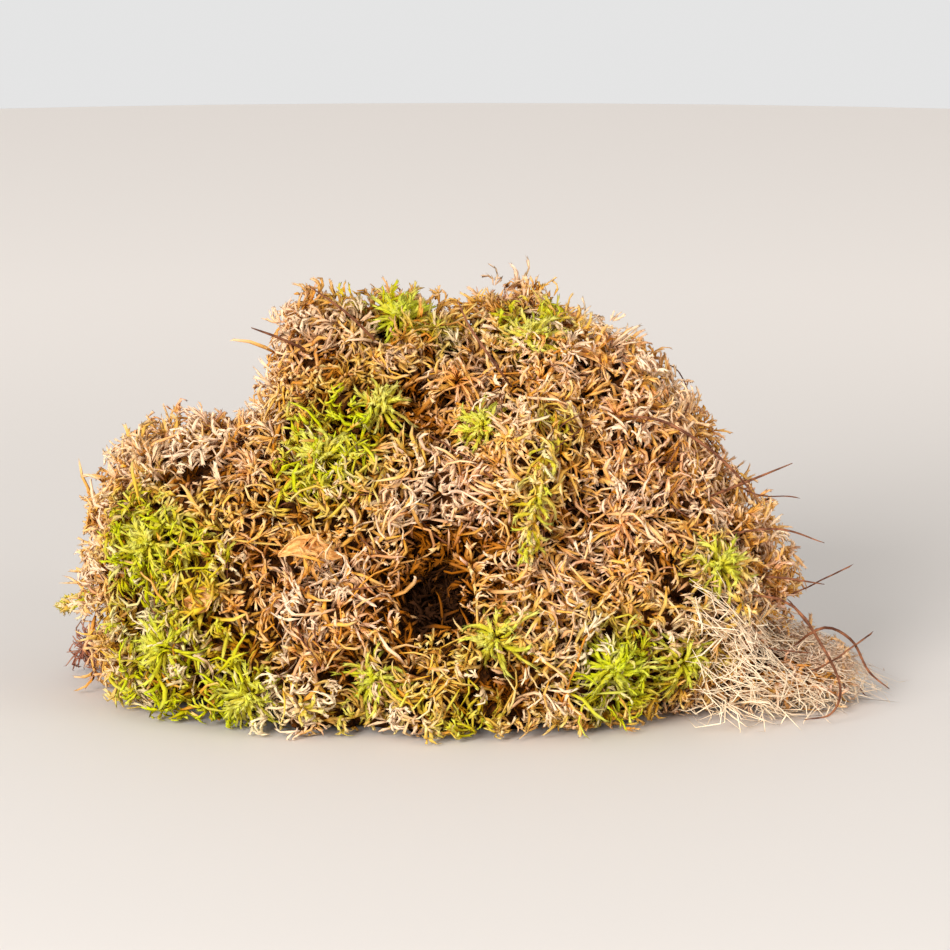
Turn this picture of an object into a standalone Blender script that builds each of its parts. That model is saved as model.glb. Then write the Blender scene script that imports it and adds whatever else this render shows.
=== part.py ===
"""Sphagnum moss clump: a heap of loose, half dried peat moss as it comes out of the sack.

Straw-coloured strands lie tangled in a mound with a high crown, a lower left shoulder and a thin
tail on the right. Green heads, dead russet sprays, bare stems, leaf flakes and wiry roots are
caught in it. Metres, +Z up, the front faces -Y, the origin is under the middle on the table.
"""

import math
import random

import bmesh
import bpy
from mathutils import Matrix, Vector, noise
from mathutils.bvhtree import BVHTree

# Driving sizes of the whole clump
CLUMP_WIDTH = 0.187
CLUMP_DEPTH = 0.130
CLUMP_HEIGHT = 0.098
HALF = Vector((CLUMP_WIDTH / 2, CLUMP_DEPTH / 2, CLUMP_HEIGHT))

# The mound under the strands, seen from its heart: a smooth union of lobes, each a centre and
# three radii as shares of half the width, half the depth and the height
HEART = Vector((0.0, 0.0, 0.31 * CLUMP_HEIGHT))
LOBES = {
    "body": ((-0.05, 0.03, 0.27), (0.68, 0.75, 0.53)),
    "left_crown": ((-0.23, 0.03, 0.62), (0.27, 0.50, 0.30)),
    "left_peak": ((-0.34, 0.00, 0.73), (0.14, 0.36, 0.18)),
    "right_crown": ((0.10, 0.06, 0.60), (0.30, 0.50, 0.30)),
    "right_edge": ((0.38, 0.04, 0.56), (0.14, 0.42, 0.20)),
    "left_shoulder": ((-0.60, -0.03, 0.27), (0.30, 0.66, 0.35)),
    "left_wall": ((-0.71, 0.00, 0.40), (0.19, 0.48, 0.19)),
    "left_base": ((-0.69, -0.08, 0.10), (0.20, 0.54, 0.16)),
    "right_flank": ((0.46, 0.00, 0.22), (0.29, 0.60, 0.30)),
    "tail": ((0.72, -0.12, 0.06), (0.18, 0.40, 0.08)),
    "toe": ((-0.09, -0.50, 0.13), (0.60, 0.38, 0.27)),
    "back": ((-0.04, 0.50, 0.20), (0.58, 0.40, 0.36)),
}
LOBE_BLEND = 0.004
LUMPS = ((0.021, 0.0045), (0.009, 0.0022))

# Dark hollows between the wads on the front: x, z, radius and depth
HOLLOWS = (
    (-0.011, 0.030, 0.013, 0.014),
    (-0.046, 0.054, 0.009, 0.006),
    (-0.016, 0.071, 0.009, 0.007),
    (-0.028, 0.012, 0.008, 0.006),
)

# The flat spot that the clump rests on is an octagon, and the rim outside it lifts clear
FOOT_RADII = (0.056, 0.038)
FOOT_SIDES = 8
RIM_SLOPE = 0.10
FLOOR_GAP = 0.0004
NODE_GAP = 0.0004
STRAND_GAP = 0.0005
SIBLING_GAP = 0.0001
SIBLING_START = 0.4

# The core is drawn out into pointed locks that lean over between the strands
CORE_FINENESS = 4
CORE_SINK = 0.0045
LOCK_HEIGHTS = (0.004, 0.009)
LOCK_LEAN = 0.0045
LOCK_SHARE = 0.75
LOWEST_LOCK = 0.010
CLEARING = 0.0085

# The mound's own strands, one to a face. For each kind: lengths, foot radius, lifts, turns, rings
STRAND_KINDS = (
    ((0.013, 0.018), 0.0019, (35, 60), (30, 80), (0.45,)),
    ((0.017, 0.025), 0.0015, (25, 50), (50, 100), (0.33, 0.68)),
)
KIND_SHARES = (0.6, 0.4)
STRAND_TRIES = 50
STRAND_LOSS = 0.975
LOW_STRANDS = 0.017
MOST_STRANDS = 600
BARE_RIM = 0.0016

# Green heads seen on the front: x, z and the size of the head
FRONT_HEADS = (
    (-0.020, 0.089, 1.0),
    (0.014, 0.085, 0.9),
    (-0.034, 0.058, 1.15),
    (-0.025, 0.074, 0.8),
    (0.003, 0.066, 0.8),
    (-0.074, 0.040, 1.05),
    (-0.070, 0.017, 1.1),
    (-0.052, 0.008, 0.95),
    (-0.024, 0.007, 0.95),
    (0.006, 0.021, 1.0),
    (0.031, 0.014, 1.25),
    (0.050, 0.013, 0.95),
    (0.053, 0.034, 0.95),
)
# Sprays of dead brown branches seen on the front: x, z
FRONT_SPRAYS = (
    (-0.052, 0.030),
    (-0.034, 0.024),
    (0.036, 0.070),
    (-0.003, 0.078),
    (-0.062, 0.055),
    (0.034, 0.044),
)
BACK_HEAD_SPACING = 0.044
BACK_SPRAY_SPACING = 0.056
BACK_EDGE = 0.012
APART = 0.016

# Bunches grow from a dome. For each kind: dome radius, ray length, share of the dome's face that
# a ray's foot takes, widest tilt of its faces, pull to the axis, droops, rings and colour
BUNCHES = {
    "green_head": (0.0031, 0.0115, 1.0, 118, 0.30, (10, 40), (0.45,), "lime"),
    "russet_spray": (0.0026, 0.0190, 1.0, 100, 0.55, (30, 65), (0.40,), "russet"),
    "root_mat": (0.0034, 0.0200, 0.45, 110, 0.25, (40, 100), (0.35, 0.70), "root_brown"),
    "root_crumb": (0.0046, 0.0075, 0.45, 105, 0.10, (20, 80), (0.45,), "root_brown"),
}
INNER_TILT = 50
INNER_RAY = 0.75
DOME_FLATNESS = 0.75

# Rooty bits at the two ends of the clump: kind, where they sit and the way they face
ROOT_BITS = {
    "root_crumb_left": ("root_crumb", (-0.0865, 0.012, 0.0044), (-0.3, -0.2, 1.0)),
    "root_mat_right": ("root_mat", (0.071, -0.012, 0.013), (0.9, -0.3, 0.40)),
}

# Leafy green shoots: thickness, leaf length and the points they run through
SHOOTS = {
    "green_sprig_left": (0.0020, 0.0055, (
        (-0.0800, 0.003, 0.0215), (-0.0850, 0.004, 0.0205), (-0.0905, 0.005, 0.0180))),
    "green_shoot_hanging": (0.0020, 0.0105, (
        (0.016, -0.036, 0.064), (0.014, -0.041, 0.056), (0.013, -0.046, 0.048), (0.0115, -0.050, 0.041))),
}
SHOOT_SIDES = 3
SHOOT_SPANS = 3

# Bare stems: thickness and the points they run through, from the root inside the mound
STEMS = {
    "stem_arching": (0.0013, (
        (0.030, -0.018, 0.066), (0.041, -0.026, 0.0665), (0.051, -0.027, 0.061),
        (0.058, -0.026, 0.0545), (0.064, -0.024, 0.047))),
    "stem_stub_right": (0.0012, ((0.049, -0.013, 0.045), (0.060, -0.020, 0.051), (0.071, -0.022, 0.056))),
    "stem_fibre_right": (0.0010, ((0.051, -0.023, 0.039), (0.067, -0.027, 0.042), (0.078, -0.028, 0.039))),
    "stem_pair_right": (0.0011, ((0.057, -0.023, 0.030), (0.067, -0.027, 0.031), (0.078, -0.030, 0.030))),
    "stem_looped": (0.0013, (
        (0.054, -0.027, 0.027), (0.069, -0.036, 0.0275), (0.077, -0.040, 0.018),
        (0.081, -0.041, 0.009), (0.079, -0.041, 0.003), (0.073, -0.040, 0.0014))),
    "stem_tail_tip": (0.0013, (
        (0.067, -0.019, 0.009), (0.077, -0.026, 0.019), (0.084, -0.028, 0.017),
        (0.088, -0.029, 0.010), (0.0928, -0.030, 0.006))),
    "stem_crown_left": (0.0012, (
        (-0.019, -0.015, 0.079), (-0.028, -0.022, 0.0895), (-0.037, -0.024, 0.0965))),
    "stem_stub_left": (0.0013, ((-0.033, -0.009, 0.077), (-0.043, -0.016, 0.083), (-0.050, -0.018, 0.086))),
    "stem_crown_curved": (0.0012, (
        (0.010, -0.019, 0.070), (0.004, -0.027, 0.080), (-0.001, -0.025, 0.087), (-0.004, -0.022, 0.093))),
    "stem_back": (0.0013, (
        (-0.018, 0.042, 0.048), (-0.032, 0.052, 0.056), (-0.048, 0.054, 0.055), (-0.062, 0.050, 0.048))),
}
STEM_TAPER = 0.7
STEM_SIDES = 5
STEM_SPANS = 2

# Flat leaf flakes: x, z on the front, length, width and the turn of the flake in degrees
FLAKES = {
    "leaf_flake_left": (-0.043, 0.038, 0.017, 0.0065, 8),
    "leaf_flake_crown": (0.028, 0.079, 0.015, 0.0060, 20),
    "leaf_flake_amber": (-0.064, 0.029, 0.013, 0.0080, 60),
}
FLAKE_THICKNESS = 0.0008
FLAKE_ARCH = 0.0026
FLAKE_SPANS = 6

COLOURS = {
    "straw": (0.46, 0.27, 0.10, 1.0),
    "lime": (0.42, 0.50, 0.05, 1.0),
    "russet": (0.36, 0.15, 0.05, 1.0),
    "stem_brown": (0.12, 0.05, 0.03, 1.0),
    "amber": (0.55, 0.27, 0.08, 1.0),
    "root_brown": (0.24, 0.10, 0.06, 1.0),
}
ROUGHNESS = 0.75
GOLDEN_ANGLE = math.pi * (3 - math.sqrt(5))


def material(name):
    """The Principled material of one colour of the moss."""
    found = bpy.data.materials.get(name)
    if found:
        return found
    made = bpy.data.materials.new(name)
    made.use_nodes = True
    shader = made.node_tree.nodes["Principled BSDF"]
    shader.inputs["Base Color"].default_value = COLOURS[name]
    shader.inputs["Roughness"].default_value = ROUGHNESS
    shader.inputs["Metallic"].default_value = 0.0
    return made


def scaled(shares):
    """A point or size given as shares of the driving sizes, in metres."""
    return Vector(share * size for share, size in zip(shares, HALF))


def lobe_reach(direction, centre, radii):
    """How far from the heart a ray leaves one lobe, or 0 if it misses it."""
    start = Vector((HEART[k] - centre[k]) / radii[k] for k in range(3))
    step = Vector(direction[k] / radii[k] for k in range(3))
    a, b, c = step.dot(step), start.dot(step), start.dot(start) - 1
    inside = b * b - a * c
    return max(0.0, (-b + math.sqrt(inside)) / a) if inside > 0 else 0.0


def smooth_reach(direction):
    """How far the mound reaches from its heart in a direction, without lumps and hollows."""
    reaches = [lobe_reach(direction, scaled(c), scaled(r)) for c, r in LOBES.values()]
    most = max(reaches)
    return most + LOBE_BLEND * math.log(sum(math.exp((r - most) / LOBE_BLEND) for r in reaches))


def front_point(x, z):
    """The point of the smooth mound that shows at x and z from the front."""
    near, far = -1.3 * HALF.y, 0.0
    for _ in range(24):
        middle = (near + far) / 2
        ray = Vector((x, middle, z)) - HEART
        if ray.length > smooth_reach(ray.normalized()):
            near = middle
        else:
            far = middle
    return Vector((x, (near + far) / 2, z))


def front_direction(x, z):
    """The way from the heart to what shows at x and z from the front."""
    return (front_point(x, z) - HEART).normalized()


HOLLOW_SPOTS = [(front_point(x, z), radius, depth) for x, z, radius, depth in HOLLOWS]


def core_point(direction):
    """The point of the core in a direction from the heart, with the mound's lumps and hollows."""
    smooth = smooth_reach(direction)
    spot = HEART + direction * smooth
    dent = sum(d * math.exp(-((spot - p).length / r) ** 2) for p, r, d in HOLLOW_SPOTS)
    lumps = sum(height * noise.noise(spot / size) for size, height in LUMPS)
    return HEART + direction * (smooth + lumps - dent - CORE_SINK)


def normal_at(direction):
    """The mound's outward normal in a direction from the heart."""
    side = direction.orthogonal().normalized() * 0.06
    other = direction.cross(side)
    p = [core_point((direction + s).normalized()) for s in (side, other, -side, -other)]
    return (p[0] - p[2]).cross(p[1] - p[3]).normalized()


def spread_directions(spacing, lowest):
    """Directions to the back of the mound, evenly spread and at least a spacing apart."""
    draws = 3000
    scattered = []
    for i in range(draws):
        height = 1 - 2 * (i + 0.5) / draws
        around = i * GOLDEN_ANGLE
        ring = math.sqrt(1 - height * height)
        direction = Vector((ring * math.cos(around), ring * math.sin(around), height))
        scattered.append((math.sin(i * 12.9898) * 43758.5453 % 1.0, direction))
    scattered.sort(key=lambda pair: pair[0])
    points, chosen = [], []
    for _, direction in scattered:
        point = core_point(direction)
        if point.z > lowest and point.y > BACK_EDGE and all((point - p).length > spacing for p in points):
            points.append(point)
            chosen.append(direction)
    return chosen


def clamped(point):
    """The point, kept above the table and inside the clump's own box."""
    return Vector((
        max(-HALF.x, min(HALF.x, point.x)),
        max(-HALF.y, min(HALF.y, point.y)),
        max(FLOOR_GAP, min(HALF.z, point.z)),
    ))


def girth(t):
    """A strand's thickness at a share of its length, next to its foot's."""
    return 1.0 - 0.9 * t ** 1.3


class Strand:
    """A tapered spike raised from a face, that leaves along a heading and curls to a side."""

    def __init__(self, foot, heading, towards, length, turn, cuts):
        middle = sum(foot, Vector()) / len(foot)
        normal = (foot[1] - foot[0]).cross(foot[2] - foot[1]).normalized()
        heading = heading.normalized()
        side = (towards - heading * towards.dot(heading)).normalized()
        self.radius = max((corner - middle).length for corner in foot)
        self.shares = (0.0, *cuts, 1.0)
        self.rings, self.centres = [foot], [middle]
        for t in self.shares[1:]:
            bent = turn * t
            along = length * math.sin(bent) / turn
            across = length * (1 - math.cos(bent)) / turn
            centre = clamped(middle + heading * along + side * across)
            rotation = normal.rotation_difference(heading * math.cos(bent) + side * math.sin(bent))
            self.centres.append(centre)
            self.rings.append([clamped(centre + rotation @ (c - middle) * girth(t)) for c in foot])
        self.rings[-1] = [self.centres[-1]]

    def samples(self, start=0.0):
        """Points along the strand with its radius there, for keeping strands apart."""
        found = []
        for near, far, low, high in zip(self.centres, self.centres[1:], self.shares, self.shares[1:]):
            steps = max(2, math.ceil((far - near).length / 0.0014))
            for k in range(steps + 1):
                t = low + (high - low) * k / steps
                if t >= start:
                    found.append((near.lerp(far, k / steps), self.radius * girth(t)))
        return found

    def clear_of(self, mound):
        """True when the spike stays outside the core beyond its own foot."""
        ring = self.rings[1]
        start = [corner.lerp(ring[k % len(ring)], 0.03) for k, corner in enumerate(self.rings[0])]
        rings = [start, *self.rings[1:]]
        points, faces, below = [p for ring in rings for p in ring], [], 0
        count = len(start)
        for _ in rings[:-2]:
            for k in range(count):
                a, b = below + k, below + (k + 1) % count
                faces.append((a, b, b + count, a + count))
            below += count
        faces += [(below + k, below + (k + 1) % count, len(points) - 1) for k in range(count)]
        if mound.tree.overlap(BVHTree.FromPolygons(points, faces)):
            return False
        beyond = self.rings[1:]
        ends = [corner for ring in beyond for corner in ring]
        for below, above in zip(beyond, beyond[1:]):
            for k, corner in enumerate(below):
                ends += [corner.lerp(above[k % len(above)], share) for share in (0.33, 0.67)]
        return min(mound.height(p) for p in ends) > NODE_GAP


def draw_out(bm, face, strand):
    """Replaces a face by a strand: an inset foot if it has one, its rings and a pointed tip."""
    below = list(face.verts)
    count = len(below)
    on_face = (strand.rings[0][0] - below[0].co).length < 1e-7
    bm.faces.remove(face)
    for ring in strand.rings[1 if on_face else 0:-1]:
        above = [bm.verts.new(p) for p in ring]
        for k in range(count):
            bm.faces.new((below[k - 1], below[k], above[k], above[k - 1]))
        below = above
    tip = bm.verts.new(strand.rings[-1][0])
    for k in range(count):
        bm.faces.new((below[k - 1], below[k], tip))


def inset(face, share):
    """The corners of a face, drawn in towards its middle to a share of their distance."""
    middle = face.calc_center_median()
    return [middle.lerp(v.co, share) for v in face.verts]


def finished(bm, name):
    """The mesh of a finished shape, in triangles."""
    bmesh.ops.triangulate(bm, faces=bm.faces)
    mesh = bpy.data.meshes.new(name)
    bm.to_mesh(mesh)
    bm.free()
    return mesh


def cut_with(target, meshes):
    """Cuts the meshes' shapes out of the target in one step and removes them."""
    group = bpy.data.collections.new("cutters")
    bpy.context.scene.collection.children.link(group)
    for mesh in meshes:
        group.objects.link(bpy.data.objects.new("cutter", mesh))
    step = target.modifiers.new("cut", "BOOLEAN")
    step.operation = "DIFFERENCE"
    step.operand_type = "COLLECTION"
    step.collection = group
    step.solver = "MANIFOLD"
    graph = bpy.context.evaluated_depsgraph_get()
    result = bpy.data.meshes.new_from_object(target.evaluated_get(graph))
    target.modifiers.remove(step)
    old, target.data = target.data, result
    bpy.data.meshes.remove(old)
    for used in list(group.objects):
        used_mesh = used.data
        bpy.data.objects.remove(used)
        bpy.data.meshes.remove(used_mesh)
    bpy.data.collections.remove(group)


def new_node(name, mesh, colour, parent):
    """An object for one node, with its material, carried by the clump's empty."""
    node = bpy.data.objects.new(name, mesh)
    bpy.context.scene.collection.objects.link(node)
    node.parent = parent
    node.data.materials.append(material(colour))
    return node


def cut_flat(bm, point, outward):
    """Cuts off what lies beyond a plane and closes the cut."""
    every = bm.verts[:] + bm.edges[:] + bm.faces[:]
    cut = bmesh.ops.bisect_plane(
        bm, geom=every, dist=1e-6, plane_co=point, plane_no=outward, clear_outer=True)
    rim = [e for e in cut["geom_cut"] if isinstance(e, bmesh.types.BMEdge)]
    bmesh.ops.edgeloop_fill(bm, edges=rim)


def core_shape(clearings, rng):
    """The packed inside of the mound in locks, pressed flat where it rests on the table."""
    bm = bmesh.new()
    bmesh.ops.create_icosphere(bm, subdivisions=CORE_FINENESS, radius=1)
    locks = set()
    for v in bm.verts:
        direction = v.co.normalized()
        v.co = core_point(direction)
        open_spot = any((v.co - seat).length < radius for seat, radius in clearings)
        beside = any(e.other_vert(v) in locks for e in v.link_edges)
        if v.co.z > LOWEST_LOCK and not open_spot and not beside and rng.random() < LOCK_SHARE:
            locks.add(v)
            _, sideways = ring_heading(direction, 0, rng.uniform(0, 2 * math.pi))
            v.co += direction * rng.uniform(*LOCK_HEIGHTS) + sideways * LOCK_LEAN
    cut_flat(bm, Vector((0, 0, 0)), Vector((0, 0, -1)))
    for side in range(FOOT_SIDES):
        around = 2 * math.pi * (side + 0.5) / FOOT_SIDES
        out = Vector((math.cos(around), math.sin(around), 0))
        edge = Vector((out.x * FOOT_RADII[0], out.y * FOOT_RADII[1], 0))
        face = Vector((out.x / FOOT_RADII[0], out.y / FOOT_RADII[1], 0)).normalized()
        cut_flat(bm, edge, (face * RIM_SLOPE - Vector((0, 0, 1))).normalized())
    bmesh.ops.triangulate(bm, faces=bm.faces)
    return bm


class Mound:
    """The core as it is before its strands, for what would run into it."""

    def __init__(self, bm):
        bm.verts.index_update()
        corners = [v.co.copy() for v in bm.verts]
        self.tree = BVHTree.FromPolygons(corners, [[v.index for v in f.verts] for f in bm.faces])

    def height(self, point):
        """How far a point is above the core, less than zero inside it."""
        near, normal, _, distance = self.tree.find_nearest(point)
        return distance if (point - near).dot(normal) > 0 else -distance

    def raise_clear(self, bm, way):
        """Moves a shape along a way until it is clear of the core, and returns the move."""
        rise = Vector()
        while min(self.height(v.co + rise) for v in bm.verts) < NODE_GAP:
            rise += way * 0.0002
        bmesh.ops.translate(bm, verts=bm.verts, vec=rise)
        return rise


class Claims:
    """Where each strand is, so that no other one crosses it."""

    CELL = 0.0045

    def __init__(self):
        self.cells = {}
        self.domes = []

    def cell(self, point):
        return tuple(math.floor(c / self.CELL) for c in point)

    def add(self, owner, samples):
        for point, radius in samples:
            self.cells.setdefault(self.cell(point), []).append((owner, point, radius))

    def free(self, owner, samples, gap):
        """True when the samples keep a gap from every other owner's."""
        for point, radius in samples:
            for other, centre, size in self.domes:
                if other != owner and (point - centre).length < radius + size + gap:
                    return False
            i, j, k = self.cell(point)
            for cell in ((i + a, j + b, k + c) for a in (-1, 0, 1) for b in (-1, 0, 1) for c in (-1, 0, 1)):
                for other, centre, size in self.cells.get(cell, ()):
                    if other != owner and (point - centre).length < radius + size + gap:
                        return False
        return True


def ring_heading(axis, tilt, around):
    """A direction tilted away from an axis, and the way outwards at that place round it."""
    side = axis.orthogonal().normalized()
    out = side * math.cos(around) + axis.cross(side) * math.sin(around)
    return axis * math.cos(tilt) + out * math.sin(tilt), out


class Bunch:
    """A dome that rays are drawn out of, seated just clear of the core."""

    def __init__(self, name, kind, seat, axis, size, mound, claims):
        self.name, self.kind, self.axis, self.size = name, kind, axis, size
        radius = BUNCHES[kind][0] * size
        self.bm = bmesh.new()
        bmesh.ops.create_icosphere(self.bm, subdivisions=1, radius=radius)
        bmesh.ops.scale(self.bm, vec=(1, 1, DOME_FLATNESS), verts=self.bm.verts)
        turn = axis.to_track_quat("Z", "Y").to_matrix().to_4x4()
        bmesh.ops.transform(self.bm, matrix=Matrix.Translation(seat) @ turn, verts=self.bm.verts)
        self.seat = seat + mound.raise_clear(self.bm, axis)
        claims.domes.append((name, self.seat, radius))

    def grow(self, mound, claims, rng):
        """Draws the rays out, each raised until it is clear, and returns the mesh."""
        _, reach, share, widest, pull, droops, cuts, _ = BUNCHES[self.kind]
        siblings = Claims()
        for face in self.bm.faces[:]:
            away = (face.calc_center_median() - self.seat).normalized()
            tilt = math.degrees(away.angle(self.axis))
            if tilt > widest:
                continue
            inner = tilt < INNER_TILT
            sideways = away.cross(self.axis) * rng.uniform(-0.8, 0.8)
            towards = sideways + self.axis * (0.2 if inner else -0.7)
            length = reach * self.size * rng.uniform(0.8, 1.15) * (INNER_RAY if inner else 1.0)
            turn = math.radians(rng.uniform(*droops))
            for lift in (0.0, 0.25, 0.5, 0.8, 1.2):
                heading = away + self.axis * (pull + lift)
                strand = Strand(inset(face, share), heading, towards, length, turn, cuts)
                if placed(self.bm, face, strand, self.name, mound, claims, siblings):
                    break
        return finished(self.bm, self.name)


def placed(bm, face, strand, owner, mound, claims, siblings, sibling_start=SIBLING_START):
    """Draws a strand out of a face if it crosses nothing, and says whether it did."""
    samples, late = strand.samples(), strand.samples(sibling_start)
    if not strand.clear_of(mound) or not claims.free(owner, samples, STRAND_GAP):
        return False
    if not siblings.free(face, late, SIBLING_GAP):
        return False
    siblings.add(face, late)
    claims.add(owner, samples)
    draw_out(bm, face, strand)
    return True


def shoot_mesh(name, bm, line, leaf, mound, claims, rng):
    """A shoot with a leaf drawn out of each of its side faces, longest in the middle."""
    siblings = Claims()
    for face in [f for f in bm.faces if len(f.verts) == 4]:
        middle = face.calc_center_median()
        near = min(range(1, len(line)), key=lambda k: (line[k] + line[k - 1] - 2 * middle).length)
        ahead = (line[near] - line[near - 1]).normalized()
        length = leaf * math.sin(math.pi * (0.25 + 0.6 * near / len(line))) * rng.uniform(0.85, 1.15)
        for lean in (0.9, 0.5, 0.2):
            strand = Strand(inset(face, 0.6), face.normal + ahead * lean, ahead, length, 0.4, (0.45,))
            if placed(bm, face, strand, name, mound, claims, siblings):
                break
    return finished(bm, name)


def smooth_line(points, spans=STEM_SPANS):
    """Points on a smooth curve through a stem's own points."""
    line = []
    padded = [points[0] * 2 - points[1], *points, points[-1] * 2 - points[-2]]
    for a, b, c, d in zip(padded, padded[1:], padded[2:], padded[3:]):
        for k in range(spans):
            t = k / spans
            line.append((b * 2 + (c - a) * t + (a * 2 - b * 5 + c * 4 - d) * t ** 2
                         + (b * 3 - a - c * 3 + d) * t ** 3) / 2)
    return [*line, points[-1]]


def tube(line, thickness, sides=STEM_SIDES, wider=0.0):
    """A stem along a line of points, a little thinner towards its tip."""
    line = [p.copy() for p in line]
    line[0] -= (line[1] - line[0]).normalized() * wider
    line[-1] += (line[-1] - line[-2]).normalized() * wider
    last = len(line) - 1
    bm = bmesh.new()
    bmesh.ops.create_cone(bm, cap_ends=True, segments=sides, radius1=1, radius2=STEM_TAPER, depth=last)
    bmesh.ops.translate(bm, verts=bm.verts, vec=(0, 0, last / 2))
    for cut in range(1, last):
        every = bm.verts[:] + bm.edges[:] + bm.faces[:]
        bmesh.ops.bisect_plane(bm, geom=every, plane_co=(0, 0, cut), plane_no=(0, 0, 1))
    turns, ahead = [], (line[1] - line[0]).normalized()
    carried = ahead.to_track_quat("Z", "Y")
    for k in range(last + 1):
        way = (line[min(k + 1, last)] - line[max(k - 1, 0)]).normalized()
        carried = ahead.rotation_difference(way) @ carried
        ahead = way
        turns.append(carried.copy())
    for v in bm.verts:
        k = round(v.co.z)
        v.co = line[k] + turns[k] @ Vector((v.co.x, v.co.y, 0)) * (thickness / 2 + wider)
    bm.normal_update()
    return bm


def grow_strands(bm, mound, claims, rng):
    """Draws the mound's own strands out of the core's faces: each rises, then curls back."""
    faces = [f for f in bm.faces if f.calc_center_median().z > BARE_RIM and f.normal.z > -0.8]
    rng.shuffle(faces)
    siblings = Claims()
    grown = 0
    for face in faces:
        if grown == MOST_STRANDS:
            break
        lengths, foot_radius, lifts, turns, cuts = rng.choices(STRAND_KINDS, KIND_SHARES)[0]
        middle = face.calc_center_median()
        corner = sum((v.co - middle).length for v in face.verts) / 3
        normal = face.normal.copy()
        length = rng.uniform(*lengths)
        for number in range(STRAND_TRIES):
            shrunk = STRAND_LOSS ** number
            foot = inset(face, min(0.8, foot_radius * math.sqrt(shrunk) / corner))
            lift = math.radians(rng.uniform(*lifts))
            along, _ = ring_heading(normal, math.pi / 2, rng.uniform(0, 2 * math.pi))
            heading = along * math.cos(lift) + normal * math.sin(lift)
            towards = normal.cross(along) * rng.uniform(-1.5, 1.5) - normal * rng.uniform(0.1, 0.6)
            if middle.z < LOW_STRANDS:
                heading.z = 0.6 * abs(heading.z)
                towards.z = -2.0
            strand = Strand(foot, heading, towards, length * shrunk, math.radians(rng.uniform(*turns)), cuts)
            if placed(bm, face, strand, "straw_tangle", mound, claims, siblings, 0.0):
                grown += 1
                break


def flake_shape(seat, normal, length, width, turn):
    """A dead leaf, pointed at both ends, arched along its length and as thick all over."""
    bm = bmesh.new()
    bmesh.ops.create_grid(bm, x_segments=FLAKE_SPANS, y_segments=2, size=0.5)
    for v in bm.verts:
        t = v.co.x + 0.5
        half = math.sin(math.pi * (0.04 + 0.92 * t)) ** 0.9
        arch = FLAKE_ARCH * (math.sin(math.pi * t) - 1.6 * abs(v.co.y) * half)
        v.co = Vector(((t - 0.5) * length, v.co.y * half * width, arch))
    bmesh.ops.solidify(bm, geom=bm.faces[:], thickness=-FLAKE_THICKNESS)
    bmesh.ops.recalc_face_normals(bm, faces=bm.faces)
    across = Vector((1, 0, 0)).cross(normal).normalized()
    along = normal.cross(across)
    axes = Matrix((-along, across, normal)).transposed().to_4x4()
    spin = Matrix.Rotation(math.radians(turn), 4, "Z")
    bmesh.ops.transform(bm, matrix=Matrix.Translation(seat) @ axes @ spin, verts=bm.verts)
    return bm


def bunch_spots(rng):
    """Where each green head and dead spray sits: a direction from the heart and a size."""
    green = [(front_direction(x, z), size) for x, z, size in FRONT_HEADS]
    green += [(d, rng.uniform(0.9, 1.15)) for d in spread_directions(BACK_HEAD_SPACING, 0.008)]
    seats = [core_point(direction) for direction, _ in green]
    dead = [front_direction(x, z) for x, z in FRONT_SPRAYS]
    for direction in spread_directions(BACK_SPRAY_SPACING, 0.010):
        if min((core_point(direction) - seat).length for seat in seats) > APART:
            dead.append(direction)
    spots = {"green_head_%02d" % n: spot for n, spot in enumerate(green, 1)}
    spots.update({"russet_spray_%02d" % n: (d, 1.0) for n, d in enumerate(dead, 1)})
    return spots


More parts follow.
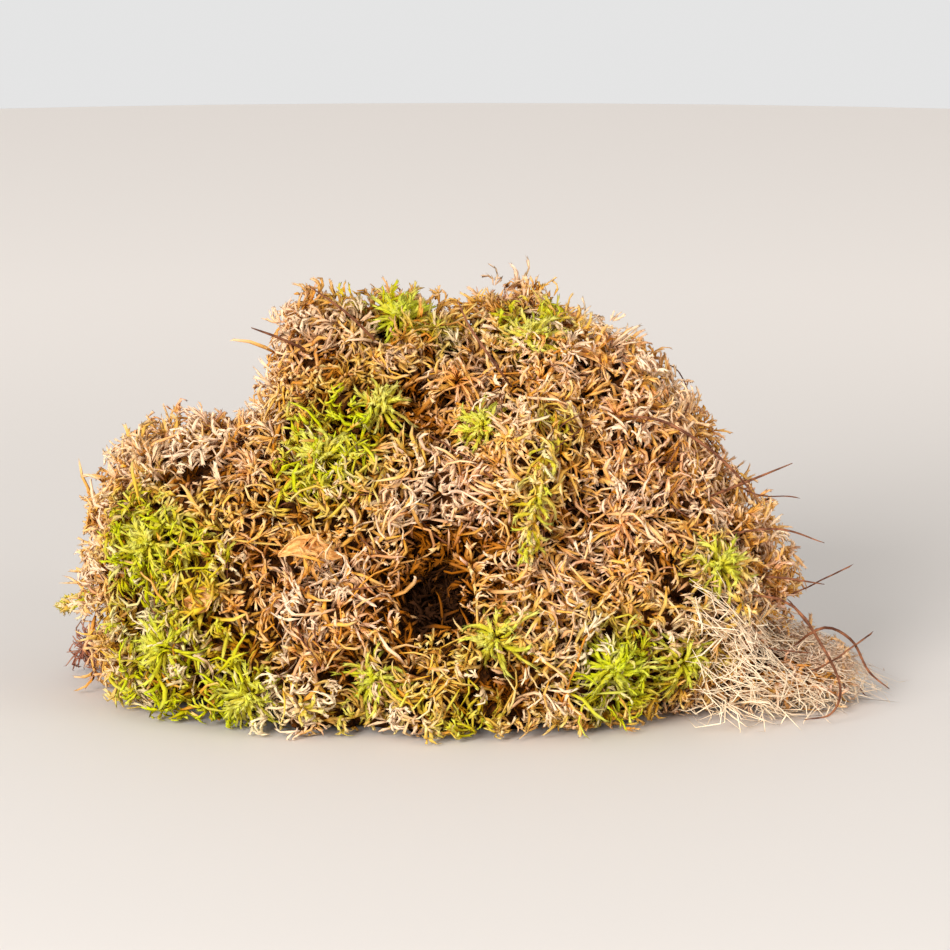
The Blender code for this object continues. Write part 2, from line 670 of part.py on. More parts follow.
def clump():
    """Builds every node, under one empty at the middle of the foot."""
    for old in list(bpy.data.objects):
        bpy.data.objects.remove(old)
    parent = bpy.data.objects.new("clump", None)
    bpy.context.scene.collection.objects.link(parent)
    rng = random.Random(7)
    claims = Claims()

    spots = bunch_spots(rng)
    stems = {name: (smooth_line([Vector(p) for p in points]), size) for name, (size, points) in STEMS.items()}
    shoots = {}
    for name, (_, _, points) in SHOOTS.items():
        shoots[name] = smooth_line([Vector(p) for p in points], SHOOT_SPANS)
    clearings = [(core_point(direction), CLEARING * size) for direction, size in spots.values()]
    clearings += [(core_point(front_direction(x, z)), CLEARING) for x, z, *_ in FLAKES.values()]
    clearings += [(p, 0.005) for line, _ in stems.values() for p in line]
    clearings += [(p, 0.010) for line in shoots.values() for p in line]
    core = core_shape(clearings, rng)
    mound = Mound(core)

    for name, (line, size) in stems.items():
        claims.add(name, [(a.lerp(b, s), size / 2) for a, b in zip(line, line[1:]) for s in (0, 0.3, 0.7, 1)])
    for name, line in shoots.items():
        thick = 0.7 * SHOOTS[name][0]
        claims.add(name, [(a.lerp(b, s), thick) for a, b in zip(line, line[1:]) for s in (0, 0.5, 1)])
    for name, (x, z, length, width, turn) in FLAKES.items():
        direction = front_direction(x, z)
        normal = normal_at(direction)
        shape = flake_shape(core_point(direction), normal, length, width, turn)
        mound.raise_clear(shape, normal)
        claims.add(name, [(face.calc_center_median(), 0.0018) for face in shape.faces])
        new_node(name, finished(shape, name), "amber", parent)

    bunches = []
    for name, (direction, size) in spots.items():
        seat, axis = core_point(direction), normal_at(direction)
        bunches.append(Bunch(name, name[:-3], seat, axis, size, mound, claims))
    for name, (kind, seat, axis) in ROOT_BITS.items():
        bunches.append(Bunch(name, kind, Vector(seat), Vector(axis).normalized(), 1.0, mound, claims))
    for name, line in shoots.items():
        thickness, leaf, _ = SHOOTS[name]
        stem = tube(line, thickness, sides=SHOOT_SIDES)
        new_node(name, shoot_mesh(name, stem, line, leaf, mound, claims, rng), "lime", parent)
    for bunch in bunches:
        new_node(bunch.name, bunch.grow(mound, claims, rng), BUNCHES[bunch.kind][-1], parent)
    for name, (line, size) in stems.items():
        new_node(name, finished(tube(line, size), name), "stem_brown", parent)

    grow_strands(core, mound, claims, rng)
    tangle = new_node("straw_tangle", finished(core, "straw_tangle"), "straw", parent)
    cut_with(tangle, [finished(tube(line, size, wider=NODE_GAP), "cutter") for line, size in stems.values()])
    tangle.data.materials.clear()
    tangle.data.materials.append(material("straw"))
    return parent


clump()
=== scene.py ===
"""The looks of the moss clump: leafy branches, green heads, dead sprays, stems, leaves and roots.

The branches are a few small shapes, each modelled once, copied in bulk and laid along curves of
their own over the same mound as the solids. Metres, +Z up, the front faces -Y.
"""

import math

import bmesh
import bpy
import numpy as np
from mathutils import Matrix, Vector, kdtree, noise


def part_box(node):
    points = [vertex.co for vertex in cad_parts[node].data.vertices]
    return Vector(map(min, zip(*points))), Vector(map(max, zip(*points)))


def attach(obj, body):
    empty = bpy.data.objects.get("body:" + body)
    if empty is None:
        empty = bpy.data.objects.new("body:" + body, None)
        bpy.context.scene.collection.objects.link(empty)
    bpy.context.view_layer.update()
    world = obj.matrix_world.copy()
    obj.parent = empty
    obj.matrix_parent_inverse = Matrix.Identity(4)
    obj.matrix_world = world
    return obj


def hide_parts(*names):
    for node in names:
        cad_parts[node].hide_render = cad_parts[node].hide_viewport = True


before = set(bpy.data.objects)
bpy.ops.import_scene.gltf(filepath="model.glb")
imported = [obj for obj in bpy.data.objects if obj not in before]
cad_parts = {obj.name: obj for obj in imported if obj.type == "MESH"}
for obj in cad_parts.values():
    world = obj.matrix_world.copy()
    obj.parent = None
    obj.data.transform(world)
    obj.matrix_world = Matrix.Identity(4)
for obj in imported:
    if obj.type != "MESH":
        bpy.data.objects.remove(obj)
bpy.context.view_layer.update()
rng = np.random.default_rng(23)
between = rng.uniform


def scatter(count):
    """Random steps that are most often short."""
    return rng.normal(size=(count, 3))


# The mound, as in the solids: a centre and three radii for each lobe, as shares of HALF
HALF = np.array((0.0935, 0.065, 0.098))
HEART = np.array((0.0, 0.0, 0.31 * 0.098))
LOBES = {
    "body": ((-0.05, 0.03, 0.27), (0.68, 0.75, 0.53)),
    "left_crown": ((-0.23, 0.03, 0.62), (0.27, 0.50, 0.30)),
    "left_peak": ((-0.34, 0.00, 0.73), (0.14, 0.36, 0.18)),
    "right_crown": ((0.10, 0.06, 0.60), (0.30, 0.50, 0.30)),
    "right_edge": ((0.38, 0.04, 0.56), (0.14, 0.42, 0.20)),
    "left_shoulder": ((-0.60, -0.03, 0.27), (0.30, 0.66, 0.35)),
    "left_wall": ((-0.71, 0.00, 0.40), (0.19, 0.48, 0.19)),
    "left_base": ((-0.69, -0.08, 0.10), (0.20, 0.54, 0.16)),
    "right_flank": ((0.46, 0.00, 0.22), (0.29, 0.60, 0.30)),
    "tail": ((0.72, -0.12, 0.06), (0.18, 0.40, 0.08)),
    "toe": ((-0.09, -0.50, 0.13), (0.60, 0.38, 0.27)),
    "back": ((-0.04, 0.50, 0.20), (0.58, 0.40, 0.36)),
}
CENTRES = np.array([centre for centre, _ in LOBES.values()]) * HALF
RADII = np.array([radii for _, radii in LOBES.values()]) * HALF
LOBE_BLEND = 0.004
LUMPS = ((0.021, 0.0056), (0.009, 0.0026))
# Hollows on the front, dented in and darkened with painted shade, in millimetres: x, z, radius and depth
HOLLOWS = np.array((
    (-11, 30, 13, 16), (-46, 54, 9, 4), (-16, 71, 9, 7), (-28, 12, 8, 6), (-49, 18, 7, 4),
    (-34, 44, 6, 3), (1, 44, 9, 4), (1, 9, 6, 5), (24, 47, 8, 4), (10, 12, 6, 5), (25, 81, 7, 4),
    (-36, 79, 7, 5), (3, 81, 7, 5),
)) / 1000
# How high the lowest branches lie, and how softly they are laid flat there
FLOOR, FLOOR_SOFTNESS = 0.0003, 0.0012
# Narrow gaps between the wads of moss, which are also darkened with painted shade
CREVICE_SIZE, CREVICE_WIDTH, CREVICE_DEPTH = 0.019, 0.08, 0.0040

# Patches on the front, in millimetres: x, z, radius and strength. Where the moss is still green
MILLIMETRES = (1000, 1000, 1000, 1)
GREEN_SPOTS = np.array((
    (-34, 60, 15, 1.2), (-27, 68, 9, 0.8), (-20, 90, 10, 1.4), (12, 88, 10, 1.4), (-8, 83, 9, 0.7),
    (16, 66, 7, 0.8), (14, 50, 7, 0.5), (-74, 34, 16, 1.2), (-70, 14, 20, 1.5), (-52, 5, 12, 1.1),
    (-25, 6, 13, 0.7), (2, 18, 14, 0.5), (32, 13, 12, 1.8), (50, 12, 10, 0.6), (52, 34, 10, 0.5),
    (-2, 4, 9, 0.7), (-80, 48, 12, 0.45), (-62, 42, 10, 0.30),
)) / MILLIMETRES
# Where it has gone rusty
RUST_SPOTS = np.array((
    (-64, 28, 9, 0.9), (-45, 28, 14, 0.6), (-36, 40, 10, 0.4), (36, 78, 20, 0.2),
    (30, 60, 20, 0.15), (-60, 58, 20, 0.35), (-5, 75, 10, 0.4), (45, 6, 12, 0.5),
)) / MILLIMETRES
# Where it has bleached to a cream colour
PALE_SPOTS = np.array((
    (-42, 5, 9, 1.2), (-19, 4, 7, 1.1), (-33, 31, 9, 0.8), (-10, 50, 10, 0.5), (20, 30, 9, 0.6),
    (-78, 56, 10, 0.5), (4, 14, 6, 0.6), (35, 70, 20, 0.45), (-60, 60, 14, 0.4), (-5, 60, 10, 0.5),
    (60, 16, 10, 0.7),
)) / MILLIMETRES
# The turn from one leaf or arm to the next round a stem, in radians
LEAF_TURN = 2.39996


def unit(v):
    """Each vector at length one."""
    return v / np.maximum(np.linalg.norm(v, axis=-1, keepdims=True), 1e-12)


def level_with(v, normals):
    """Each vector without what points along its normal."""
    return v - normals * (v * normals).sum(1, keepdims=True)


def near_to(points, spot, radius):
    """How near each point is to a spot, from 0 to 1."""
    return np.exp(-((points - spot) ** 2).sum(1) / radius ** 2)


def across(v):
    """A unit vector square to each of these."""
    upright = np.abs(v[..., 2:]) > 0.8
    return unit(np.cross(v, np.where(upright, (1.0, 0.0, 0.0), (0.0, 0.0, 1.0))))


def tilted(axis, tilt, around):
    """Ways tilted from each axis, at a place round it."""
    side = across(axis)
    out = side * np.cos(around)[..., None] + np.cross(axis, side) * np.sin(around)[..., None]
    return axis * np.cos(tilt)[..., None] + out * np.sin(tilt)[..., None]


def smooth_reach(ways):
    """How far the mound reaches from its heart each way, without lumps and hollows."""
    start = (HEART - CENTRES) / RADII
    step = ways[:, None, :] / RADII
    a, b, c = (step ** 2).sum(-1), (step * start).sum(-1), (start ** 2).sum(-1) - 1
    inside = b * b - a * c
    reach = np.where(inside > 0, (-b + np.sqrt(np.maximum(inside, 0))) / a, 0).clip(0)
    most = reach.max(1)
    return most + LOBE_BLEND * np.log(np.exp((reach - most[:, None]) / LOBE_BLEND).sum(1))


def front_points(x, z):
    """The points of the smooth mound that show at x and z from the front."""
    x, z = np.asarray(x, float), np.asarray(z, float)
    near, far = np.full(len(x), -1.3 * HALF[1]), np.zeros(len(x))
    for _ in range(24):
        middle = (near + far) / 2
        rays = np.stack((x, middle, z), 1) - HEART
        outside = np.linalg.norm(rays, axis=1) > smooth_reach(unit(rays))
        near, far = np.where(outside, middle, near), np.where(outside, far, middle)
    return np.stack((x, (near + far) / 2, z), 1)


HOLLOW_SPOTS = front_points(HOLLOWS[:, 0], HOLLOWS[:, 1])


def shade_in_hollows(points):
    """How far each point is down in one of the hollows, from 0 to about 1."""
    total = np.zeros(len(points))
    for spot, (_, _, radius, depth) in zip(HOLLOW_SPOTS, HOLLOWS):
        middle = spot + unit(HEART - spot) * depth * 0.8
        total += min(1.3, depth / 0.009) * near_to(points, middle, radius * 0.85)
    return total


def noise_at(points, size, shift=0.0):
    """Smooth noise at each point, between -1 and 1."""
    return np.array([noise.noise(Vector(p)) for p in (points / size + shift).tolist()])


def in_crevice(points):
    """How near each point is to the middle of a gap between wads, from 0 to 1."""
    return np.exp(-(noise_at(points, CREVICE_SIZE, 9.3) / CREVICE_WIDTH) ** 2)


def skin(ways):
    """The points of the mound's outside each way from its heart, with lumps and hollows."""
    smooth = smooth_reach(ways)
    spots = HEART + ways * smooth[:, None]
    reach = smooth
    for spot, (_, _, radius, depth) in zip(HOLLOW_SPOTS, HOLLOWS):
        reach = reach - depth * near_to(spots, spot, radius)
    for size, height in LUMPS:
        reach = reach + height * noise_at(spots, size)
    return HEART + ways * (reach - CREVICE_DEPTH * in_crevice(spots))[:, None]


def skin_and_normals(ways):
    """The skin each way and its outward normal there."""
    side = across(ways) * 0.06
    other = np.cross(ways, side)
    here = skin(ways)
    first, second = skin(unit(ways + side)) - here, skin(unit(ways + other)) - here
    return here, unit(np.cross(first, second))


def depth_of(points):
    """How far under the skin each point is, less than zero outside it."""
    rays = points - HEART
    ways = unit(rays)
    return np.linalg.norm(skin(ways) - HEART, axis=1) - np.linalg.norm(rays, axis=1)


def patch(points, spots):
    """How strongly the patches reach each point, from 0 to about 1."""
    seats = front_points(spots[:, 0], spots[:, 1])
    total = np.zeros(len(points))
    for seat, (_, _, radius, strength) in zip(seats, spots):
        total += strength * near_to(points, seat, radius)
    behind = np.clip((points[:, 1] + 0.01) / 0.03, 0, 1)
    wild = np.clip(noise_at(points, 0.026, 3.7 * len(spots)) * 3.0 - 0.5, 0, 1)
    return np.clip(np.maximum(total, wild * behind), 0, 1)


def any_way(count):
    """Ways that point anywhere."""
    return unit(scatter(count))


def any_turn(count):
    """Turns anywhere round a circle."""
    return between(0, 2 * math.pi, count)


def spread_over(spacing, lowest, draws=9000):
    """Evenly spread places on the mound, at least a spacing apart, as ways from its heart."""
    ways = any_way(draws)
    points = skin(ways)
    ways, points = ways[points[:, 2] > lowest], points[points[:, 2] > lowest]
    kept, cells = [], {}
    for k, (point, cell) in enumerate(zip(points, np.floor(points / spacing).astype(int).tolist())):
        near = [n for i in (-1, 0, 1) for j in (-1, 0, 1) for m in (-1, 0, 1)
                for n in cells.get((cell[0] + i, cell[1] + j, cell[2] + m), ())]
        if not near or ((points[near] - point) ** 2).sum(1).min() > spacing ** 2:
            kept.append(k)
            cells.setdefault(tuple(cell), []).append(k)
    return ways[kept]


# Small shapes that are copied in bulk


def girth(t):
    """A branch's thickness along its length."""
    return (0.45 + 0.55 * min(1.0, t / 0.25)) * (1 - 0.70 * t ** 4.0)


def as_mesh(name, bm):
    """A finished bmesh as a mesh."""
    mesh = bpy.data.meshes.new(name)
    bm.to_mesh(mesh)
    bm.free()
    return mesh


def branch_shape(name, sides, spans, leaf_stand=0.0, leaf_ahead=0.0, even=False, sparse=False):
    """A branch 1 long up Z and about 1 thick, with leaf tips that stand off it if they are asked for."""
    bm = bmesh.new()
    bmesh.ops.create_cone(bm, cap_ends=True, segments=sides, radius1=0.5, radius2=0.5, depth=1)
    bmesh.ops.translate(bm, verts=bm.verts, vec=(0, 0, 0.5))
    long_edges = [e for e in bm.edges if abs(e.verts[0].co.z - e.verts[1].co.z) > 0.5]
    bmesh.ops.subdivide_edges(bm, edges=long_edges, cuts=spans - 1)
    bmesh.ops.pointmerge(bm, verts=[v for v in bm.verts if v.co.z > 0.999], merge_co=(0, 0, 1))
    for v in bm.verts:
        turn = 0.55 * round(v.co.z * spans)
        t = 1 - (1 - v.co.z) ** (1.0 if even else 1.45)
        thick = 1.0 if even else girth(t)
        x, y = v.co.x * thick, v.co.y * thick
        v.co = (x * math.cos(turn) - y * math.sin(turn), x * math.sin(turn) + y * math.cos(turn), t)
    if leaf_stand:
        quads = [f for f in bm.faces if len(f.verts) == 4 and f.calc_center_median().z < 0.9]
        quads = quads[::2] if sparse else quads
        tips = bmesh.ops.poke(bm, faces=quads)["verts"]
        for k, v in enumerate(tips):
            uneven = 1 + 0.28 * math.sin(k * LEAF_TURN)
            v.co.x *= leaf_stand * uneven
            v.co.y *= leaf_stand * uneven
            v.co.z += leaf_ahead * uneven / spans
    bmesh.ops.triangulate(bm, faces=bm.faces)
    bmesh.ops.recalc_face_normals(bm, faces=bm.faces)
    unroll(bm)
    return as_mesh(name, bm)


def unroll(bm):
    """Gives a branch shape its map: round it from left to right, along it from bottom to top."""
    layer = bm.loops.layers.uv.new("OFBake")
    for face in bm.faces:
        middle = face.calc_center_median()
        home = math.atan2(middle.y, middle.x)
        for loop in face.loops:
            spot = loop.vert.co
            turn = (math.atan2(spot.y, spot.x) - home + math.pi) % (2 * math.pi) - math.pi
            if spot.xy.length < 1e-6:
                turn = 0.0
            loop[layer].uv = (0.5 + (home + turn) / (2.4 * math.pi), spot.z)


def placed(name, data):
    """A new object in the scene."""
    made = bpy.data.objects.new(name, data)
    bpy.context.scene.collection.objects.link(made)
    return made


def copied(name, shape, count):
    """One mesh with the shape count times over, copy after copy."""
    holder = placed(name, shape)
    row = holder.modifiers.new("copies", "ARRAY")
    row.count = count
    row.use_relative_offset = False
    row.use_constant_offset = True
    row.constant_offset_displace = (0, 0, 0)
    graph = bpy.context.evaluated_depsgraph_get()
    mesh = bpy.data.meshes.new_from_object(holder.evaluated_get(graph))
    mesh.name = name
    bpy.data.objects.remove(holder)
    return mesh


def read(items, name, width=1):
    """A value of every vertex or corner of a mesh."""
    values = np.empty(len(items) * width, np.float32)
    items.foreach_get(name, values)
    return values.reshape(-1, width) if width > 1 else values


def lift_off(points):
    """Lays what would be under the table flat on it."""
    soft, z = FLOOR_SOFTNESS, points[..., 2]
    points[..., 2] = np.where(z < soft, FLOOR + (soft - FLOOR) * np.exp(np.minimum((z - soft) / soft, 0)), z)


def curved(shape, many):
    """Where every vertex of every copy goes: along an arc from its root, with a slight waver."""
    spot = read(shape.vertices, "co", 3)
    t = spot[None, :, 2]
    turn, length = many["turn"][:, None], many["length"][:, None]
    bend = turn * t
    ahead, side = many["heading"][:, None, :], many["side"][:, None, :]
    third = np.cross(many["heading"], many["side"])[:, None, :]
    phase = many["phase"][:, None]
    waver = many["sway"][:, None] * length * np.sin(5.5 * t + phase) * t
    crinkle = many["sway"][:, None] * length * np.sin(9.0 * t + 2.3 * phase) * t * 0.6
    middle = (many["root"][:, None, :] + ahead * (length * np.sin(bend) / turn)[..., None]
              + side * (length * (1 - np.cos(bend)) / turn + crinkle)[..., None] + third * waver[..., None])
    way = ahead * np.cos(bend)[..., None] + side * np.sin(bend)[..., None]
    up = np.cross(way, np.broadcast_to(third, way.shape))
    roll = phase * 3.0
    x = spot[None, :, 0] * np.cos(roll) - spot[None, :, 1] * np.sin(roll)
    y = spot[None, :, 0] * np.sin(roll) + spot[None, :, 1] * np.cos(roll)
    wide = many["width"][:, None]
    return middle + third * (x * wide)[..., None] + up * (y * wide)[..., None]


def along_path(shape, paths, widths):
    """Where every vertex of every copy goes when each copy follows a path of its own."""
    spot = read(shape.vertices, "co", 3)
    place = spot[:, 2].clip(0, 1) * (paths.shape[1] - 1)
    low = np.minimum(place.astype(int), paths.shape[1] - 2)
    share = (place - low)[None, :, None]
    middle = paths[:, low] * (1 - share) + paths[:, low + 1] * share
    steps = np.gradient(paths, axis=1)
    way = unit(steps[:, low] * (1 - share) + steps[:, low + 1] * share)
    flat = across(unit(paths[:, -1] - paths[:, 0]))[:, None, :]
    side = unit(flat - way * (flat * way).sum(-1, keepdims=True))
    up = np.cross(way, side)
    wide = widths[:, None, None]
    return middle + side * (spot[None, :, 0:1] * wide) + up * (spot[None, :, 1:2] * wide)


def lay_out(name, shape, places, values):
    """A piece with one copy of the shape for each row of places, its values and its map."""
    count = len(places)
    mesh = copied(name, shape, count)
    places = places.reshape(-1, 3)
    lift_off(places)
    mesh.vertices.foreach_set("co", places.astype(np.float32).ravel())
    along = np.tile(read(shape.vertices, "co", 3)[:, 2], count)
    per_copy = len(shape.vertices)
    give(mesh, "along", along.clip(0, 1))
    for key, row in values.items():
        if row.ndim == 2:
            first, last = np.repeat(row[:, 0], per_copy), np.repeat(row[:, 1], per_copy)
            give(mesh, key, first + (last - first) * along)
        else:
            give(mesh, key, np.repeat(row, per_copy))
    spread_map(mesh, count)
    mesh.shade_smooth()
    mesh.update()
    return new_piece(name, mesh)


def give(mesh, name, values):
    """A named value at every vertex."""
    layer = mesh.attributes.new(name, "FLOAT", "POINT")
    layer.data.foreach_set("value", np.asarray(values, np.float32))


def spread_map(mesh, count):
    """Gives each copy a tall cell of its own in the map."""
    layer = mesh.uv_layers["OFBake"]
    uv = read(layer.uv, "vector", 2)
    columns = math.ceil(math.sqrt(count * 2.5))
    rows = math.ceil(count / columns)
    number = np.arange(len(uv)) // (len(uv) // count)
    cell = np.stack((number % columns, number // columns), 1)
    uv = (cell + 0.1 + 0.8 * uv.clip(0, 1)) / (columns, rows)
    layer.uv.foreach_set("vector", uv.astype(np.float32).ravel())


def new_piece(name, mesh):
    """An object for a finished mesh, which rides on the clump."""
    piece = placed(name, mesh)
    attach(piece, "root")
    return piece


def stand_for(piece, nodes, finish):
    """Puts a piece in the place of its CAD nodes, with its finish."""
    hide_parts(*nodes)
    piece.data.materials.clear()
    piece.data.materials.append(finish)


# Materials


def put(tree, kind, inputs=(), **settings):
    """A shader node with its settings and inputs; an input that is a socket is linked."""
    node = tree.nodes.new("ShaderNode" + kind)
    for key, value in settings.items():
        setattr(node, key, value)
    for key, value in dict(inputs).items():
        if isinstance(value, bpy.types.NodeSocket):
            tree.links.new(value, node.inputs[key])
        else:
            node.inputs[key].default_value = value
    return node


def new_group(name, inputs, outputs):
    """An empty node group with named inputs and outputs, and its two end nodes."""
    tree = bpy.data.node_groups.new(name, "ShaderNodeTree")
    for key, kind in inputs.items():
        tree.interface.new_socket(name=key, in_out="INPUT", socket_type="NodeSocket" + kind)
    for key, kind in outputs.items():
        tree.interface.new_socket(name=key, in_out="OUTPUT", socket_type="NodeSocket" + kind)
    return tree, tree.nodes.new("NodeGroupInput"), tree.nodes.new("NodeGroupOutput")


def blend(tree, share, first, second, way="MIX"):
    """Two colours mixed, as an output socket."""
    return put(tree, "Mix", {0: share, 6: first, 7: second}, data_type="RGBA", blend_type=way).outputs[2]


def eased(tree, value, low, high, to_low=0.0, to_high=1.0):
    """A value brought smoothly from one range to another."""
    node = put(tree, "MapRange", {0: value, 1: low, 2: high, 3: to_low, 4: to_high})
    node.interpolation_type = "SMOOTHSTEP"
    return node.outputs[0]


def make_growth_tint():
    """Colour along a branch: from its old root over its middle to its young tip."""
    inputs = {"Along": "Float", "Root": "Color", "Middle": "Color", "Tip": "Color"}
    tree, start, end = new_group("growth tint", inputs, {"Color": "Color"})
    along, root, middle, tip = (start.outputs[key] for key in inputs)
    lower = blend(tree, eased(tree, along, 0.0, 0.30), root, middle)
    whole = blend(tree, eased(tree, along, 0.45, 1.0), lower, tip)
    tree.links.new(whole, end.inputs["Color"])
    return tree


def make_leaf_grain():
    """Fine mottling and leaf cells: a shade to multiply by and a height."""
    tree, start, end = new_group(
        "leaf grain", {"Size": "Float", "Depth": "Float"}, {"Shade": "Float", "Height": "Float"})
    size, depth = start.outputs["Size"], start.outputs["Depth"]
    place = put(tree, "TexCoord").outputs["Object"]
    fine = put(tree, "TexNoise", {"Vector": place, "Scale": size, "Detail": 3.0, "Roughness": 0.65})
    coarse = put(tree, "TexNoise", {"Vector": place, "Scale": 330.0, "Detail": 2.0})
    both = put(tree, "Math", {0: fine.outputs["Fac"], 1: coarse.outputs["Fac"]}, operation="ADD")
    centred = put(tree, "Math", {0: both.outputs[0], 1: 1.0}, operation="SUBTRACT")
    shade = put(tree, "Math", {0: centred.outputs[0], 1: depth, 2: 1.0}, operation="MULTIPLY_ADD")
    tree.links.new(shade.outputs[0], end.inputs["Shade"])
    tree.links.new(fine.outputs["Fac"], end.inputs["Height"])
    return tree


GROWTH_TINT = make_growth_tint()
LEAF_GRAIN = make_leaf_grain()


def value_of(tree, name):
    """The socket of a value that the mesh carries."""
    return put(tree, "Attribute", attribute_name=name).outputs["Fac"]


def grown(tree, colours):
    """The growth tint with its three colours."""
    node = put(tree, "Group", node_tree=GROWTH_TINT)
    tree.links.new(value_of(tree, "along"), node.inputs["Along"])
    for key, colour in zip(("Root", "Middle", "Tip"), colours):
        node.inputs[key].default_value = (*colour, 1.0)
    return node.outputs[0]


def new_material(name):
    """An empty material, its node tree and its surface node."""
    made = bpy.data.materials.new(name)
    made.use_nodes = True
    return made, made.node_tree, made.node_tree.nodes["Principled BSDF"]


def finished(name, colour_of, roughness, grain, bump, specular=0.25):
    """A material from a function that gives its colour socket, with leaf grain and bump."""
    made, tree, shader = new_material(name)
    size, depth = grain
    fibre = put(tree, "Group", node_tree=LEAF_GRAIN)
    fibre.inputs["Size"].default_value = size
    fibre.inputs["Depth"].default_value = depth
    shade = put(tree, "CombineColor", dict.fromkeys(range(3), fibre.outputs["Shade"]))
    colour = blend(tree, 1.0, colour_of(tree), shade.outputs[0], "MULTIPLY")
    tree.links.new(colour, shader.inputs["Base Color"])
    rough = eased(tree, fibre.outputs["Height"], 0.25, 0.75, roughness - 0.08, roughness + 0.08)
    tree.links.new(rough, shader.inputs["Roughness"])
    relief = put(tree, "Bump", {"Height": fibre.outputs["Height"], "Strength": bump, "Distance": 0.0003})
    tree.links.new(relief.outputs[0], shader.inputs["Normal"])
    shader.inputs["Specular IOR Level"].default_value = specular
    return made


# Colours from the root of a branch over its middle to its tip
STRAW = ((0.65, 0.255, 0.012), (0.81, 0.430, 0.115), (0.88, 0.580, 0.35))
GOLDEN = ((0.70, 0.280, 0.008), (0.83, 0.455, 0.085), (0.88, 0.60, 0.29))
PINKISH = ((0.61, 0.215, 0.024), (0.80, 0.395, 0.185), (0.89, 0.58, 0.43))
LIME = ((0.44, 0.35, 0.002), (0.49, 0.50, 0.003), (0.54, 0.58, 0.025))
RUST = ((0.48, 0.125, 0.003), (0.72, 0.290, 0.040), (0.84, 0.48, 0.180))
# Colours of old and bleached branches, then a darker inner brown that is partly painted shade, and the
# painted shade of the hollows
OLD = (0.50, 0.175, 0.006, 1.0)
CREAM = (0.89, 0.66, 0.46, 1.0)
BLEACHED = (0.98, 0.80, 0.56, 1.0)
INNER_BROWN_AND_SHADE = (0.34, 0.100, 0.002, 1.0)
DEEPEST_SHADE = (0.030, 0.010, 0.003, 1.0)


def branch_colour(tree):
    """Straw, golden or pinkish branches, green, rusty, old or bleached in patches, darker far inside, with
    painted shade in hollows, crevices, tuft edges and on the crown.
    """
    tint, pale, deep = (value_of(tree, name) for name in ("tint", "pale", "deep"))
    colour = blend(tree, eased(tree, tint, 0.60, 1.00), grown(tree, STRAW), grown(tree, GOLDEN))
    colour = blend(tree, eased(tree, tint, 0.45, 0.15), colour, grown(tree, PINKISH))
    colour = blend(tree, value_of(tree, "green"), colour, grown(tree, LIME))
    colour = blend(tree, value_of(tree, "rust"), colour, grown(tree, RUST))
    colour = blend(tree, eased(tree, pale, 0.40, 0.0, 0.0, 0.40), colour, OLD)
    colour = blend(tree, eased(tree, pale, 0.80, 1.0, 0.0, 0.65), colour, CREAM)
    colour = blend(tree, eased(tree, pale, 1.0, 1.5, 0.0, 0.85), colour, BLEACHED)
    # Painted shade: a darker inner brown far inside and in crevices, then near black in the hollows
    colour = blend(tree, eased(tree, deep, 0.0, 0.9), colour, INNER_BROWN_AND_SHADE)
    return blend(tree, eased(tree, deep, 0.7, 1.4), colour, DEEPEST_SHADE)


def plain_colour(first, second):
    """A colour function for pieces between two kinds, as their tint says."""
    def colour_of(tree):
        return blend(tree, value_of(tree, "tint"), grown(tree, first), grown(tree, second))
    return colour_of


def placed_colour(dark, light, size, stretch=(1, 1, 1)):
    """A colour function with blotches of two colours, for pieces without values of their own."""
    def colour_of(tree):
        spot = put(tree, "TexCoord").outputs["Object"]
        spot = put(tree, "Mapping", {"Vector": spot, "Scale": stretch}).outputs[0]
        blot = put(tree, "TexNoise", {"Vector": spot, "Scale": size, "Detail": 4.0, "Roughness": 0.6})
        return blend(tree, eased(tree, blot.outputs["Fac"], 0.35, 0.65), (*dark, 1.0), (*light, 1.0))
    return colour_of


MOSS = finished("dried moss", branch_colour, 0.80, (2600.0, 0.45), 0.4, specular=0.06)
BARK = finished("stem bark", placed_colour((0.080, 0.024, 0.010), (0.26, 0.095, 0.040), 420.0),
                0.65, (1800.0, 1.1), 0.6, specular=0.18)
# Peaty inside, near black: partly its own colour, partly painted shade in the gaps
PEAT_AND_SHADE = finished("peaty inside", placed_colour((0.022, 0.007, 0.002), (0.13, 0.040, 0.006), 700.0),
                0.9, (1500.0, 1.2), 1.0, specular=0.1)
LEAF = finished("dead leaf", placed_colour((0.52, 0.19, 0.030), (0.84, 0.49, 0.17), 900.0, (0.25, 1.0, 1.0)),
                0.6, (1500.0, 0.9), 0.9, specular=0.2)
BROWN_ROOT = ((0.14, 0.032, 0.018), (0.25, 0.065, 0.032), (0.34, 0.12, 0.065))
PALE_ROOT = ((0.78, 0.48, 0.27), (0.93, 0.68, 0.45), (0.97, 0.80, 0.60))
ROOT = finished("wiry roots", plain_colour(BROWN_ROOT, PALE_ROOT), 0.65, (2000.0, 0.8), 0.5)

